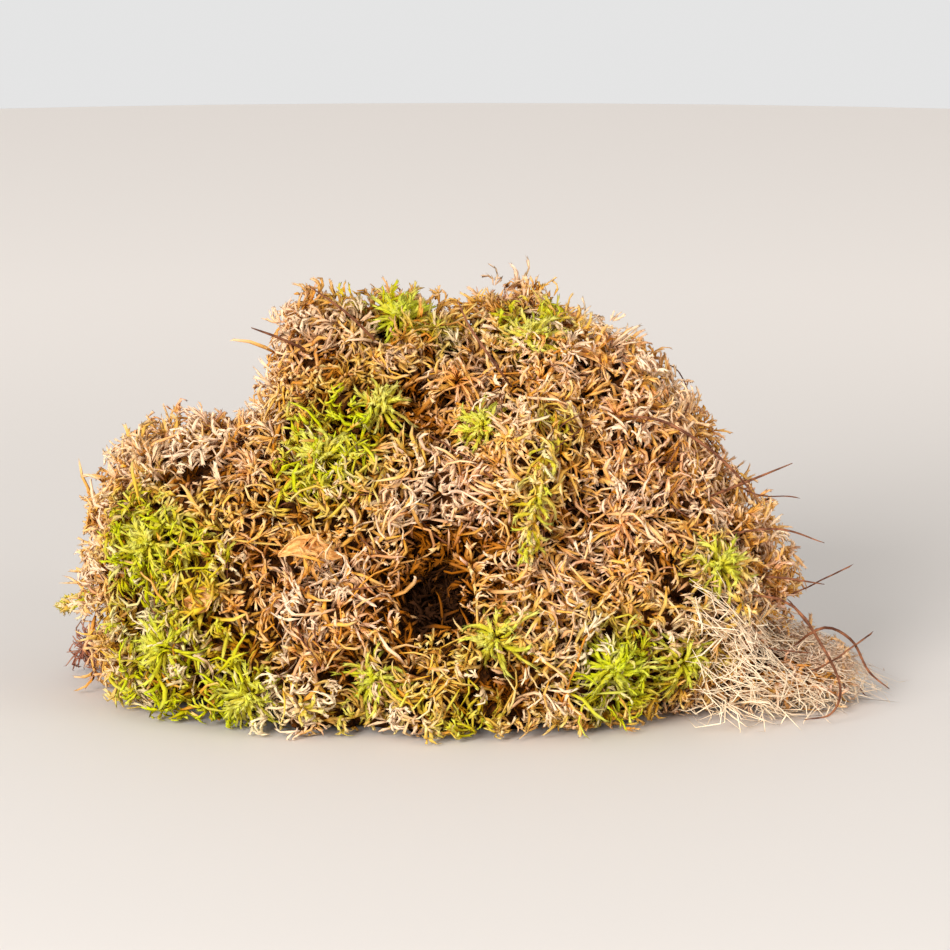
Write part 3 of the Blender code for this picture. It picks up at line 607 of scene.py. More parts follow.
# Bare stems, in millimetres: how thick their nodes are, and the points that they run through
STEMS = {
    "stem_arching": (1.3, ((30, -18, 66), (41, -26, 66.5), (51, -27, 61), (58, -26, 54.5), (64, -24, 47))),
    "stem_stub_right": (1.2, ((49, -13, 45), (60, -20, 51), (71, -22, 56))),
    "stem_fibre_right": (1.0, ((51, -23, 39), (67, -27, 42), (78, -28, 39))),
    "stem_pair_right": (1.1, ((57, -23, 30), (67, -27, 31), (78, -30, 30))),
    "stem_looped": (1.3, (
        (54, -27, 27), (69, -36, 27.5), (77, -40, 18), (81, -41, 9), (79, -41, 3), (73, -40, 1.4))),
    "stem_tail_tip": (1.3, ((67, -19, 9), (77, -26, 19), (84, -28, 17), (88, -29, 10), (92.8, -30, 6))),
    "stem_crown_left": (1.2, ((-19, -15, 79), (-28, -22, 89.5), (-37, -24, 96.5))),
    "stem_stub_left": (1.3, ((-33, -9, 77), (-43, -16, 83), (-50, -18, 86))),
    "stem_crown_curved": (1.2, ((10, -19, 70), (4, -27, 80), (-1, -25, 87), (-4, -22, 93))),
    "stem_back": (1.3, ((-18, 42, 48), (-32, 52, 56), (-48, 54, 55), (-62, 50, 48))),
}
# How many steps a stem has, and how wide its shape is for its thickness
STEM_SPANS, STEM_SHARE = 24, 0.52


def smooth_path(points, steps):
    """A smooth path through points in millimetres, in even steps and in metres."""
    points = np.array(points) / 1000
    padded = np.concatenate(([2 * points[0] - points[1]], points, [2 * points[-1] - points[-2]]))
    place = np.linspace(0, len(points) - 1, steps + 1)
    low = np.minimum(place.astype(int), len(points) - 2)
    t = (place - low)[:, None]
    a, b, c, d = (padded[low + k] for k in range(4))
    return (2 * b + (c - a) * t + (2 * a - 5 * b + 4 * c - d) * t ** 2 + (3 * b - a - 3 * c + d) * t ** 3) / 2


# The mound's own branches

# How many branches leave from one place, and how low a place is for them to point no further down
BUNCH, LOW_BASE = 3, 0.006
# Where the moss thins out over the tail, and the tail's height at some places along X
TAIL_START = 0.062
TAIL_SLOPE = (
    (0.044, 0.051, 0.060, 0.070, 0.082, 0.090, 0.097), (0.90, 0.22, 0.055, 0.028, 0.015, 0.006, 0.002))
# The room kept free for the crumb of roots: its middle and half size
CRUMB, CRUMB_ROOM = np.array((-0.0905, 0.004, 0.008)), np.array((0.007, 0.012, 0.014))
# How deep under the skin a branch is darkest: a browner inside, partly painted shade
DARK_DEPTH = 0.011


def tail_height(x, y):
    """How high the tail is: lower outwards and towards its two sides."""
    aside = np.exp(-((y + 0.010) / 0.026) ** 2)
    rounded = ((x - 0.052) / 0.016).clip(0, 1)
    return np.interp(x, *TAIL_SLOPE) * (1 - rounded * 0.75 * (1 - aside))


def under_slope(places):
    """Presses what lies over the tail down to its height there."""
    most = tail_height(places[..., 0], places[..., 1])
    z = places[..., 2].clip(0)
    places[..., 2] = most * (1 - np.exp(-z / most))
    return places


def many_branches(root, heading, towards, length, turn, width, sway):
    """Rows that lay branches out: where each is rooted, how it leaves and how it curls."""
    count = len(root)
    heading = unit(heading)
    side = unit(level_with(towards, heading))
    return {
        "root": root, "heading": heading, "side": side, "length": length, "turn": np.radians(turn),
        "width": width, "sway": between(0, sway, count), "phase": any_turn(count),
        "pale": between(0, 1, count),
    }


def joined(*parts):
    """Several sets of rows as one."""
    return {key: np.concatenate([part[key] for part in parts]) for key in parts[0]}


def chosen(many, mask):
    """Some of the rows."""
    return {key: rows[mask] for key, rows in many.items()}


def tip_of(many):
    """Where each branch ends."""
    turn, length = many["turn"][:, None], many["length"][:, None]
    return (many["root"] + many["heading"] * length * np.sin(turn) / turn
            + many["side"] * length * (1 - np.cos(turn)) / turn)


def coloured(many, tint, green_more=0.0, rust_more=0.0):
    """Adds the values that the moss finish reads."""
    root, tip = many["root"], tip_of(many)
    middle = (root + tip) / 2
    loose = between(0.75, 1.25, len(root))
    broken = (0.80 + 1.3 * noise_at(middle, 0.0065, 2.2)).clip(0, 1.15)
    green = patch(middle, GREEN_SPOTS)
    green = green * loose * np.where(green > 0.70, 1, broken) + green_more
    rust = patch(middle, RUST_SPOTS) * loose * (1 - green.clip(0, 1) * 0.7) + rust_more
    rust = np.where(rng.random(len(root)) < 0.06, 0.8, rust)
    # Darker with depth under the skin: partly the browner inside, partly painted shade
    deep = np.stack((depth_of(root), depth_of(tip)), 1) / DARK_DEPTH
    # Painted shade down in the hollows
    deep = deep + 1.5 * np.stack((shade_in_hollows(root), shade_in_hollows(tip)), 1)
    # Painted shade in the crevices between wads
    deep = deep + 0.50 * np.stack((in_crevice(root), 0.6 * in_crevice(tip)), 1)
    many["pale"] = (0.55 * many["pale"] + 0.55 * (0.5 + 1.2 * noise_at(middle, 0.012, 6.6)).clip(0, 1)
                    + 0.5 * patch(middle, PALE_SPOTS)).clip(0, 1)
    # Painted shade over the top of the crown, which the light reaches most
    crown_shade = np.exp(-((middle[:, 0] + 0.022) / 0.024) ** 2) * ((middle[:, 2] - 0.068) / 0.014).clip(0, 1)
    many.update(tint=tint, green=green.clip(0, 1), rust=rust.clip(0, 1),
                deep=(deep - 0.25).clip(0, 1.8) + 0.26 * crown_shade[:, None])
    return many


def wander(spacing, steps, stride, lowest=0.006):
    """Paths over the mound: points, headings and normals at each step."""
    ways = spread_over(spacing, lowest)
    count = len(ways)
    level = between(-0.0055, -0.0005, count)
    here, normals = skin_and_normals(ways)
    heading = tilted(normals, np.full(count, math.pi / 2), any_turn(count))
    turn = between(-0.16, 0.16, count)
    points, headings, outward = [], [], []
    for _ in range(steps):
        points.append(here + normals * level[:, None])
        headings.append(heading)
        outward.append(normals)
        level = (level + between(-0.0009, 0.0011, count)).clip(-0.0065, 0.001)
        bent = turn + between(-0.25, 0.25, count)
        heading = unit(heading + np.cross(normals, heading) * bent[:, None])
        low = here[:, 2] < lowest + 0.002
        heading[:, 2] = np.where(low, np.abs(heading[:, 2]) * 0.5, heading[:, 2])
        ways = unit(here + heading * stride - HEART)
        here, normals = skin_and_normals(ways)
        heading = unit(level_with(heading, normals))
    return np.stack(points, 1), np.stack(headings, 1), np.stack(outward, 1)


def bunched(base, ahead, out, tint, spread, lengths, swing=1.75, loose=0.24):
    """A bunch of branches from each place, which leave and curl almost as one."""
    bunches = len(base)
    around = between(-swing, swing, bunches)
    away = out * np.cos(around)[:, None] + np.cross(out, ahead) * np.sin(around)[:, None]
    heading = ahead * np.cos(spread)[:, None] + away * np.sin(spread)[:, None]
    towards = -ahead * between(-0.3, 0.9, (bunches, 1)) - out * between(-0.1, 0.9, (bunches, 1))
    towards += any_way(bunches) * (0.4 + 2 * loose)
    low = base[:, 2] < LOW_BASE
    heading[:, 2] = np.where(low, heading[:, 2].clip(-0.1, 1), heading[:, 2])
    length, turn = between(*lengths, bunches), between(45, 190, bunches)
    base, heading, towards, out, tint, length, turn = (
        np.repeat(rows, BUNCH, 0) for rows in (base, heading, towards, out, tint, length, turn))
    count = len(base)
    heading = unit(heading + scatter(count) * loose)
    standing = (heading * out).sum(1).clip(0, 1)
    length = length * between(0.75, 1.15, count) * (1 - 0.45 * standing)
    rows = many_branches(base + scatter(count) * 0.0005, heading,
                         towards + scatter(count) * 0.3, length,
                         turn * between(0.8, 1.25, count), between(0.00034, 0.00062, count), 0.12)
    return coloured(rows, tint * 0.5 + between(0, 0.5, count))


def side_branches(points, headings, outward, lengths):
    """Bunches of branches all along the shoots."""
    tint = np.repeat(between(0, 1, len(points)), points.shape[1])
    flat = (rows.reshape(-1, 3) for rows in (points, headings, outward))
    return bunched(*flat, tint, between(0.55, 1.50, len(tint)), lengths)


def matted_branches(spacing, tuft_size, lengths):
    """Tufts side by side all over: branches stand in the middle of each and droop outwards round it."""
    seats = skin(spread_over(tuft_size, 0.001, 30000))
    here, normals = skin_and_normals(spread_over(spacing, 0.0015, 130000))
    own = np.array([((seats - spot) ** 2).sum(1).argmin() for spot in here])
    away = level_with(here - seats[own], normals)
    share = (np.linalg.norm(away, axis=1) / (tuft_size * 0.62)).clip(0, 1)
    flow = np.stack([noise_at(here, 0.017, shift) for shift in (0.0, 31.7, 57.3)], 1)
    flow = unit(level_with(flow, normals))
    leaning = any_way(len(seats))[own] * 0.5
    ahead = unit(unit(away) * share[:, None] * 1.1 + flow * 0.7 + leaning)
    level = 0.0014 - 0.0054 * share ** 2 + between(-0.0012, 0.0006, len(here))
    spread = (1.05 - 0.85 * share + between(-0.2, 0.2, len(here))).clip(0.05, 1.4)
    rows = bunched(here + normals * level[:, None], ahead, normals, between(0, 1, len(seats))[own],
                   spread, lengths, 0.5, 0.15)
    own, share = np.repeat(own, BUNCH), np.repeat(share, BUNCH)
    uneven = between(0.55, 1.35, len(seats))[own]
    rows["green"] = np.where(rows["green"] > 0.65, rows["green"], (rows["green"] * uneven).clip(0, 1))
    rows["pale"] = (0.50 * rows["pale"] + between(-0.1, 0.70, len(seats))[own] + 0.2 * (1 - share)
                    + 0.7 * patch(rows["root"], PALE_SPOTS)).clip(0, 1.25)
    # Painted shade towards the edge of each tuft, in the gaps between tufts
    rows["deep"] = (rows["deep"] + 0.30 * share[:, None] ** 2).clip(0, 1.8)
    return rows


def base_fringe():
    """Short branches all round the base, which lie out on the table."""
    ways = spread_over(0.0026, 0.0010, 40000)
    here, normals = skin_and_normals(ways)
    low = here[:, 2] < LOW_BASE
    here, normals = here[low], normals[low]
    out = unit(normals * (1, 1, 0) + (0, 0, 0.12))
    aside = np.cross(out, (0.0, 0.0, 1.0)) * rng.choice((-1.0, 1.0), (len(here), 1))
    return bunched(here - out * 0.003, aside, out, between(0, 1, len(here)),
                   between(0.4, 1.4, len(here)), (0.0045, 0.0090))


def tufts(seats, axes, number, lengths, tilts, width=(0.0006, 0.0009), inward=0.5):
    """Starry tufts: branches that fan out from each seat round its axis."""
    count = len(seats) * number
    seat, axis = np.repeat(seats, number, 0), np.repeat(axes, number, 0)
    rank = np.tile(np.arange(number) / max(1, number - 1), len(seats))
    tilt = np.radians(tilts[0] + (tilts[1] - tilts[0]) * rank) + between(-0.15, 0.15, count)
    around = np.arange(count) * LEAF_TURN + between(-0.3, 0.3, count)
    heading = tilted(axis, tilt, around)
    towards = axis * (inward - 1.2 * rank[:, None]) + any_way(count) * 0.45
    length = (lengths[0] + (lengths[1] - lengths[0]) * rank) * between(0.8, 1.15, count)
    root = seat + heading * 0.0006 - axis * 0.0012 * rank[:, None]
    return many_branches(root, heading, towards, length, between(30, 110, count),
                         between(*width, count), 0.05)


def split(many):
    """The rows by the part of the mound they are rooted in."""
    x, y, z = many["root"].T
    top = z > 0.060
    front, back = ~top & (y < 0), ~top & (y >= 0)
    parts = {
        "crown_left": top & (x < -0.008), "crown_right": top & (x >= -0.008),
        "front_left": front & (x < -0.030), "front_middle": front & (abs(x) <= 0.030),
        "front_right": front & (x > 0.030),
        "back_left": back & (x < -0.012), "back_right": back & (x >= -0.012),
    }
    return {part: chosen(many, mask) for part, mask in parts.items()}


def lookup_of(points):
    """A quick way to find the nearest of these points."""
    lookup = kdtree.KDTree(len(points))
    for number, spot in enumerate(points.tolist()):
        lookup.insert(spot, number)
    lookup.balance()
    return lookup


def points_along(rows):
    """Three points along each branch."""
    root, tip = rows["root"], tip_of(rows)
    return [root + (tip - root) * share for share in (0.25, 0.50, 0.80)]


def clear_of_stems(rows, room=0.0028):
    """Which branches don't lie over a bare stem."""
    lookup = lookup_of(np.concatenate([smooth_path(route, STEM_SPANS) for _, route in STEMS.values()]))
    clear = np.full(len(rows["root"]), True)
    for points in points_along(rows):
        found = [lookup.find(spot) for spot in points.tolist()]
        away = points - np.array([spot for spot, _, _ in found])
        over = (away * unit(points - HEART)).sum(1) > -0.0006
        clear &= ~(over & (np.array([distance for _, _, distance in found]) < room))
    return clear


def lay_moss(name, shape, rows, nodes=("straw_tangle",), over_tail=False):
    """A piece of moss with one copy of the shape for each row, in the place of its nodes."""
    places = curved(shape, rows)
    if over_tail:
        under_slope(places)
    values = {key: rows[key] for key in ("tint", "pale", "green", "rust", "deep")}
    stand_for(lay_out(name, shape, places, values), nodes, MOSS)


LEAFY = branch_shape("leafy branch", 3, 4, leaf_stand=5.6, leaf_ahead=1.0, sparse=True)
FINE = branch_shape("fine branch", 3, 4)
HAIR = branch_shape("hair", 3, 3)
RICH = branch_shape("rich branch", 3, 5, leaf_stand=4.8, leaf_ahead=1.1)
THREAD = branch_shape("thread", 3, 14, even=True)

points, headings, outward = wander(0.0160, 15, 0.0030)
leafy = side_branches(points, headings, outward, (0.0050, 0.0095))
matted = matted_branches(0.0022, 0.0085, (0.0050, 0.0098))
fringe = base_fringe()
ends, ways_out = points[:, -1], unit(headings[:, -1] * 0.7 + outward[:, -1])
tips = tufts(ends, ways_out, 11, (0.0035, 0.0075), (5, 95))
tip_tints = np.repeat(between(0.1, 1, len(ends)), 11)
leafy = joined(leafy, matted, fringe, coloured(tips, tip_tints, green_more=0.08))
middles = (leafy["root"] + tip_of(leafy)) / 2
over_tail = middles[:, 2] < 0.9 * tail_height(middles[:, 0], middles[:, 1])
thinned = (middles[:, 0] > TAIL_START) & over_tail & (rng.random(len(middles)) < 0.65)
leafy = chosen(leafy, ~thinned & (np.linalg.norm((middles - CRUMB) / CRUMB_ROOM, axis=1) > 1))
leafy = chosen(leafy, clear_of_stems(leafy))
for part, rows in split(leafy).items():
    lay_moss("moss_" + part, LEAFY, rows)


def bare_places(rows, room, least):
    """Places on the mound with few branches over the inside, and their normals."""
    lookup = lookup_of(np.concatenate(points_along(rows)))
    here, normals = skin_and_normals(spread_over(0.0022, 0.002, 60000))
    covered = [len(lookup.find_range(spot, room)) for spot in (here - normals * 0.0022).tolist()]
    bare = (np.array(covered) < least) & (shade_in_hollows(here) < 0.8)
    return here[bare], normals[bare]


def cover_branches():
    """Branches that lie close over the inside where the others leave it bare."""
    here, normals = bare_places(leafy, 0.0030, 11)
    count = len(here)
    ahead = tilted(normals, np.full(count, math.pi / 2), any_turn(count))
    rows = bunched(here - normals * 0.0026 - ahead * 0.002, ahead, normals, between(0, 1, count),
                   between(0.1, 0.6, count), (0.0055, 0.0085), 0.8, 0.30)
    rows["width"] = rows["width"] * 1.25
    return rows


lay_moss("moss_close", LEAFY, cover_branches())


def loose_strands(count):
    """Long thin strands that lie over the mound every way."""
    ways = any_way(count * 3)
    ways = ways[skin(ways)[:, 2] > 0.005][:count]
    here, normals = skin_and_normals(ways)
    count = len(ways)
    lift = between(0.0, 0.45, count)
    heading = tilted(normals, math.pi / 2 - lift, any_turn(count))
    towards = -normals * between(0.3, 1.0, (count, 1)) + any_way(count)
    root = here + normals * between(-0.005, 0.0015, (count, 1))
    return many_branches(root, heading, towards, between(0.007, 0.015, count) * (1 - 0.4 * np.sin(lift)),
                         between(40, 150, count), between(0.0005, 0.0012, count), 0.14)


def inner_branches(spacing):
    """Thick old branches that lie criss-cross under the skin and fill the gaps."""
    here, normals = skin_and_normals(spread_over(spacing, 0.002, 20000))
    count = len(here)
    heading = tilted(normals, between(1.1, 1.7, count), any_turn(count))
    length = between(0.006, 0.011, count)
    root = here - normals * between(0.0045, 0.0070, (count, 1)) - heading * length[:, None] * 0.5
    return many_branches(root, heading, any_way(count), length, between(20, 120, count),
                         between(0.0010, 0.0017, count), 0.12)


def tail_hair(count):
    """Fine pale hairs that flow out over the table at the thin right end."""
    y = (rng.normal(size=count) * 0.016).clip(-0.034, 0.034) - 0.010
    x = 0.046 + between(0, 0.036, count) * np.exp(-((y + 0.010) / 0.034) ** 2)
    root = np.stack((x, y, tail_height(x, y) * between(0.02, 0.85, count)), 1)
    root[:, 2] = np.minimum(root[:, 2], between(0.004, 0.036, count))
    heading = np.stack((between(0.2, 1.2, count), rng.normal(size=count) * 0.6, between(-0.6, 0.5, count)), 1)
    towards = any_way(count) + (0.3, 0, -0.4)
    rows = many_branches(root, heading, towards, between(0.008, 0.020, count), between(30, 230, count),
                         between(0.00025, 0.00055, count), 0.15)
    rows = coloured(rows, between(0, 0.4, count))
    rows.update(deep=np.zeros((count, 2)), pale=between(1.25, 1.6, count))
    return rows


strands = joined(loose_strands(2300), inner_branches(0.0040))
strands = coloured(strands, between(0, 1, len(strands["root"])))
strands = chosen(strands, clear_of_stems(strands))
front = strands["root"][:, 1] < 0
for name, mask in (("strands_front", front), ("strands_back", ~front)):
    lay_moss(name, FINE, chosen(strands, mask), over_tail=True)
lay_moss("tail_hair", HAIR, tail_hair(2000), over_tail=True)

stem_rows = along_path(THREAD, points, between(0.0005, 0.0009, len(points)))
stem_values = {
    "tint": between(0, 1, len(points)), "pale": between(0, 0.4, len(points)),
    "green": patch(points[:, points.shape[1] // 2], GREEN_SPOTS) * 0.6,
    "rust": between(0.2, 1.0, len(points)), "deep": np.full(len(points), 0.15),
}
piece = lay_out("shoot_stems", THREAD, stem_rows, stem_values)
stand_for(piece, ["straw_tangle"], MOSS)

# Thin dark threads: how many, and the middle and half size of where they lie
THREADS = (
    (26, (0.048, -0.010, 0.052), (0.018, 0.030, 0.022)),
    (16, (0.010, -0.040, 0.045), (0.050, 0.020, 0.030)),
    (12, (-0.040, -0.040, 0.035), (0.022, 0.015, 0.022)),
    (12, (0.068, -0.018, 0.016), (0.012, 0.020, 0.010)),
    (22, (0.000, 0.045, 0.045), (0.070, 0.020, 0.035)),
)


def dark_threads(count, middle, half):
    """Thin dark threads that lie over the moss and end in the air."""
    near = np.array(middle) + between(-1, 1, (count, 3)) * half
    here, normals = skin_and_normals(unit(near - HEART))
    heading = tilted(normals, between(1.25, 1.6, count), any_turn(count))
    return many_branches(here - normals * 0.001, heading, -normals + any_way(count),
                         between(0.010, 0.024, count), between(15, 90, count),
                         between(0.0003, 0.0005, count), 0.06)


rows = joined(*(dark_threads(*place) for place in THREADS))
stand_for(lay_out("dark_threads", THREAD, curved(THREAD, rows), {}), ["straw_tangle"], BARK)

# The dark inside that shows in the gaps, peaty and partly painted shade: how deep it lies, and the least that
# covers it
PEAT_DEPTH, LEAST_COVER = 0.0066, 0.0042


def inside():
    """The packed, peaty inside of the mound, well below the branches, dark as painted shade in the gaps."""
    bm = bmesh.new()
    bmesh.ops.create_icosphere(bm, subdivisions=6, radius=1)
    ways = unit(np.array([v.co for v in bm.verts]))
    places, normals = skin_and_normals(ways)
    rough = noise_at(places, 0.0045) * 0.0018 + noise_at(places, 0.0022) * 0.0012
    places = places - normals * (PEAT_DEPTH - rough[:, None])
    for _ in range(2):
        short = (LEAST_COVER - depth_of(places)).clip(0)
        places = places - unit(places - HEART) * short[:, None]
    lift_off(places)
    for v, place in zip(bm.verts, places):
        v.co = place
    mesh = as_mesh("peaty_inside", bm)
    mesh.shade_smooth()
    return new_piece("peaty_inside", mesh)


stand_for(inside(), ["straw_tangle"], PEAT_AND_SHADE)


# Green heads and dead sprays, at the places of their nodes


def solid_points(node):
    """The corners of a node's solid."""
    return read(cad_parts[node].data.vertices, "co", 3)


def seat_of(node, sunk):
    """Where a bunch's node sits on the mound, and its way out."""
    middle = solid_points(node).mean(0)[None, :]
    here, normal = skin_and_normals(unit(middle - HEART))
    return here - normal * sunk, normal


def plain_values(rows, tint, green, rust):
    """Adds the values that the moss finish reads, without the mound's patches and shade."""
    count = len(rows["root"])
    rows.update(tint=tint, green=np.full(count, green), rust=np.full(count, rust), deep=np.zeros((count, 2)))
    return rows


def head(node):
    """A starry green head: long arching outer branches, shorter ones towards the middle."""
    seat, axis = seat_of(node, 0.0006)
    size = np.ptp(solid_points(node), axis=0).max() / 0.021
    size = min(1.25, max(0.9, size * 1.1))
    rows = joined(
        tufts(seat, axis, 20, (0.0062 * size, 0.0095 * size), (58, 108), (0.0005, 0.0008), 0.2),
        tufts(seat, axis, 17, (0.0048 * size, 0.0068 * size), (26, 60), (0.0005, 0.0008), 0.4),
        tufts(seat + axis * 0.0008, axis, 13, (0.0028 * size, 0.0044 * size), (0, 30), (0.0006, 0.0008), 0.8),
    )
    count = len(rows["root"])
    yellow = between(0.0, 0.22)
    rows["pale"] = 0.35 + 0.48 * rows["pale"]
    return plain_values(rows, between(0, 1, count), (1 - yellow - between(0, 0.18, count)).clip(0, 1), 0.0)


def spray(node):
    """A dead brown spray: long thin branches drawn together round its axis."""
    seat, axis = seat_of(node, 0.0018)
    rows = joined(
        tufts(seat, axis, 18, (0.0060, 0.0115), (35, 100), (0.00035, 0.0006), -0.3),
        tufts(seat, axis, 10, (0.0050, 0.0080), (5, 40), (0.00035, 0.0006), 0.0),
    )
    count = len(rows["root"])
    return plain_values(rows, between(0, 0.5, count), 0.0, between(0.1, 0.75, count))


for node in sorted(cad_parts):
    if node.startswith(("green_head", "russet_spray")):
        green = node.startswith("green")
        rows = head(node) if green else spray(node)
        lay_moss("fine_" + node, RICH, rows, [node])

STEM = branch_shape("bare stem", 8, STEM_SPANS)
for node, (thickness, route) in STEMS.items():
    path = smooth_path(route, STEM_SPANS)
    places = along_path(STEM, path[None], np.array([thickness / 1000 * STEM_SHARE]))
    stand_for(lay_out("fine_" + node, STEM, places, {}), [node], BARK)

# Dead leaves that lie on the mound: length and width
FLAKES = {
    "leaf_flake_left": (0.015, 0.0045),
    "leaf_flake_crown": (0.015, 0.0060),
    "leaf_flake_amber": (0.012, 0.0060),
}


def dead_leaf(node, length, width):
    """A thin dead leaf with a midrib and curled edges, fitted over its node."""
    solid = solid_points(node).astype(float)
    middle = solid.mean(0)
    axes = np.linalg.svd(solid - middle, full_matrices=False)[2]
    long_way, cross_way = axes[0], axes[1]
    normal = np.cross(long_way, cross_way)
    if normal @ (middle - HEART) < 0:
        cross_way, normal = -cross_way, -normal
    bm = bmesh.new()
    bmesh.ops.create_grid(bm, x_segments=18, y_segments=8, size=0.5)
    for v in bm.verts:
        t, s = v.co.x + 0.5, v.co.y * 2
        half = math.sin(math.pi * (0.03 + 0.94 * t ** 0.8)) ** 1.3 / 2
        ragged = 1 + 0.22 * noise.noise(Vector((t * 11, s * 3, length * 900)))
        curl = 0.0045 * half * abs(s) ** 1.6 * (1 if s > 0 else 0.35)
        arch = 0.0022 * math.sin(math.pi * t) + curl + 0.0004 * math.exp(-(s * 6) ** 2)
        arch += 0.0011 * noise.noise(Vector((t * 4, s * 2, length * 500)))
        bow = cross_way * 0.0016 * math.sin(5.0 * t)
        spot = middle + long_way * (t - 0.5) * length + cross_way * s * half * width * ragged + bow
        spot = spot + normal * (arch - 0.0026)
        v.co = Vector(spot)
    bmesh.ops.recalc_face_normals(bm, faces=bm.faces)
    mesh = as_mesh("fine_" + node, bm)
    mesh.shade_smooth()
    piece = new_piece("fine_" + node, mesh)
    wall = piece.modifiers.new("thickness", "SOLIDIFY")
    wall.thickness = 0.0003
    finer = piece.modifiers.new("finer", "SUBSURF")
    finer.levels = finer.render_levels = 1
    return piece


def branches_over(node):
    """Leafy branches that lie across a dead leaf."""
    seat = solid_points(node).mean(0)[None, :]
    count = 16
    out = unit(seat - HEART)
    away = tilted(np.repeat(out, count, 0), np.full(count, math.pi / 2), any_turn(count))
    root = seat + away * between(0.0030, 0.0070, (count, 1)) + out * 0.0004
    heading = -away + any_way(count) * 0.5 + out * 0.55
    rows = many_branches(root, heading, -out + any_way(count) * 0.8, between(0.004, 0.009, count),
                         between(40, 140, count), between(0.0004, 0.0008, count), 0.12)
    return coloured(rows, between(0, 1, count), rust_more=0.15)


for node in FLAKES:
    lay_moss("branches_over_" + node, LEAFY, branches_over(node))
for node, (length, width) in FLAKES.items():
    stand_for(dead_leaf(node, length, width), [node], LEAF)

# Leafy green shoots, in millimetres: leaf length and the points they run through
SHOOTS = {
    "green_sprig_left": (5.5, ((-82, 3, 21.5), (-86.5, 4, 20.5), (-91.5, 5, 18), (-94.5, 5, 17.5))),
    "green_shoot_hanging": (8.5, ((16, -36, 64), (14, -41, 56), (13, -46, 48), (11.5, -50, 41))),
}
SHOOT_STEPS, LEAVES_ROUND = 13, 6


def leafy_shoot(leaf, route):
    """Branches all round a green stem, pointing forward, shorter towards the tip."""
    path = smooth_path(route, SHOOT_STEPS)
    ahead = unit(np.gradient(path, axis=0))
    base, ahead = np.repeat(path, LEAVES_ROUND, 0), np.repeat(ahead, LEAVES_ROUND, 0)
    count = len(base)
    rank = np.repeat(np.linspace(0, 1, SHOOT_STEPS + 1), LEAVES_ROUND)
    around = any_turn(count)
    heading = tilted(ahead, np.radians(between(25, 95, count)), around)
    length = leaf / 1000 * (0.75 + 0.35 * np.sin(math.pi * rank) - 0.35 * rank) * between(0.5, 1.1, count)
    rows = many_branches(base, heading, ahead + scatter(count) * 0.7, length,
                         between(40, 150, count), between(0.0004, 0.0007, count), 0.08)
    return plain_values(rows, between(0, 1, count), between(0.25, 0.9, count), 0.0)


for node, (leaf, route) in SHOOTS.items():
    lay_moss("fine_" + node, RICH, leafy_shoot(leaf, route), [node])


# Wiry roots


def rootlets(node, count, lengths, widths, flat):
    """A wad of thin rootlets that curl every way inside and round their node."""
    low, high = (np.array(corner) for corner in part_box(node))
    middle, half = (low + high) / 2, (high - low) / 2
    root = middle + half * scatter(count).clip(-1.6, 1.6) * 0.38 * (1, 1, flat)
    heading = unit(scatter(count) * (1, 1, flat))
    towards = any_way(count) + (middle - root) / half.max()
    rows = many_branches(root, heading, towards, between(*lengths, count), between(60, 260, count),
                         between(*widths, count), 0.15)
    rows.update(tint=between(0, 1, count))
    return rows


for node, count, lengths, widths, flat in (
    ("root_crumb_left", 260, (0.004, 0.010), (0.00035, 0.0006), 0.6),
    ("root_mat_right", 420, (0.008, 0.022), (0.0002, 0.0004), 0.4),
):
    rows = rootlets(node, count, lengths, widths, flat)
    tint = rows["tint"] ** 0.4 if "mat" in node else rows["tint"] * 0.15
    piece = lay_out("fine_" + node, FINE, under_slope(curved(FINE, rows)), {"tint": tint})
    stand_for(piece, [node], ROOT)

# Floor, light and camera


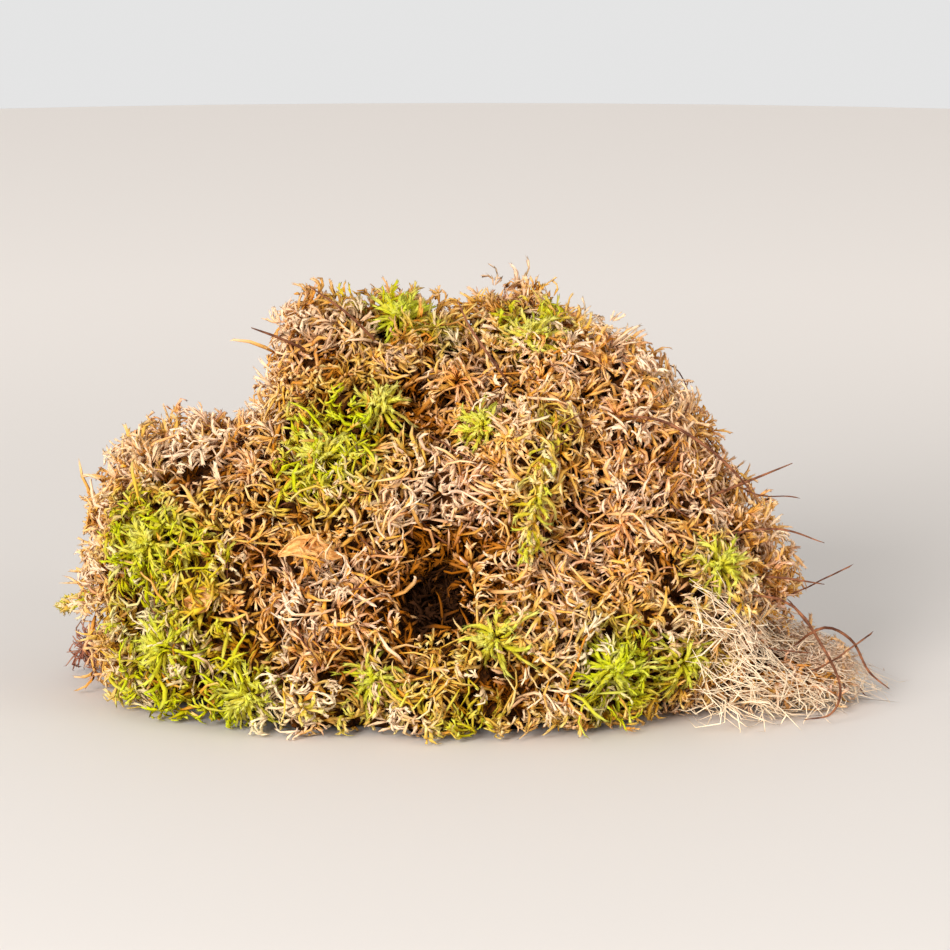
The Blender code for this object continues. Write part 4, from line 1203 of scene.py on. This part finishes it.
def plain_floor():
    """A pale round table top that fades into the light behind it."""
    bm = bmesh.new()
    bmesh.ops.create_circle(bm, cap_ends=True, segments=128, radius=1.05)
    floor = placed("floor", as_mesh("floor", bm))
    made, tree, shader = new_material("pale table")
    place = put(tree, "TexCoord").outputs["Object"]
    far = put(tree, "VectorMath", {0: place}, operation="LENGTH").outputs["Value"]
    near_colour, far_colour = (0.74, 0.685, 0.635, 1.0), (0.925, 0.850, 0.785, 1.0)
    colour = blend(tree, eased(tree, far, 0.18, 0.62), near_colour, far_colour)
    tree.links.new(colour, shader.inputs["Base Color"])
    shader.inputs["Roughness"].default_value = 0.7
    floor.data.materials.append(made)


def facing(thing, place, target):
    """Puts a lamp or the camera in its place, facing the target."""
    thing.location = place
    thing.rotation_euler = (target - place).to_track_quat("-Z", "Y").to_euler()


def soft_light(name, place, size, power, target=(0, 0, 0.04)):
    """A soft lamp that faces the clump."""
    lamp = bpy.data.lights.new(name, "AREA")
    lamp.size = size
    lamp.energy = power
    facing(placed(name, lamp), Vector(place), Vector(target))


plain_floor()
soft_light("key light", (-1.00, -1.90, 0.86), 0.80, 60.0)
soft_light("fill light", (1.60, -1.20, 0.75), 1.2, 12.5)
world = bpy.data.worlds.new("studio")
bpy.context.scene.world = world
world.use_nodes = True
sky = world.node_tree
seen = put(sky, "LightPath").outputs["Is Camera Ray"]
sky.nodes["Background"].inputs["Color"].default_value = (1.0, 1.0, 1.0, 1.0)
up = put(sky, "SeparateXYZ", {0: put(sky, "TexCoord").outputs["Generated"]}).outputs["Z"]
dimmer_above = eased(sky, up, 0.0, 1.0, 0.99, 0.45)
sky.links.new(eased(sky, seen, 0.0, 1.0, dimmer_above, 0.78), sky.nodes["Background"].inputs["Strength"])
bpy.context.scene.view_settings.view_transform = "Standard"

CAMERA_RISE, CAMERA_DISTANCE, VIEW_WIDTH = math.radians(11), 1.3, 0.216
TARGET = Vector((0.0, 0.0, 0.049))
camera = placed("camera", bpy.data.cameras.new("camera"))
away = Vector((0, -math.cos(CAMERA_RISE), math.sin(CAMERA_RISE))) * CAMERA_DISTANCE
facing(camera, TARGET + away, TARGET)
camera.data.lens = camera.data.sensor_width * CAMERA_DISTANCE / VIEW_WIDTH
camera.data.clip_end = 20.0
bpy.context.scene.camera = camera
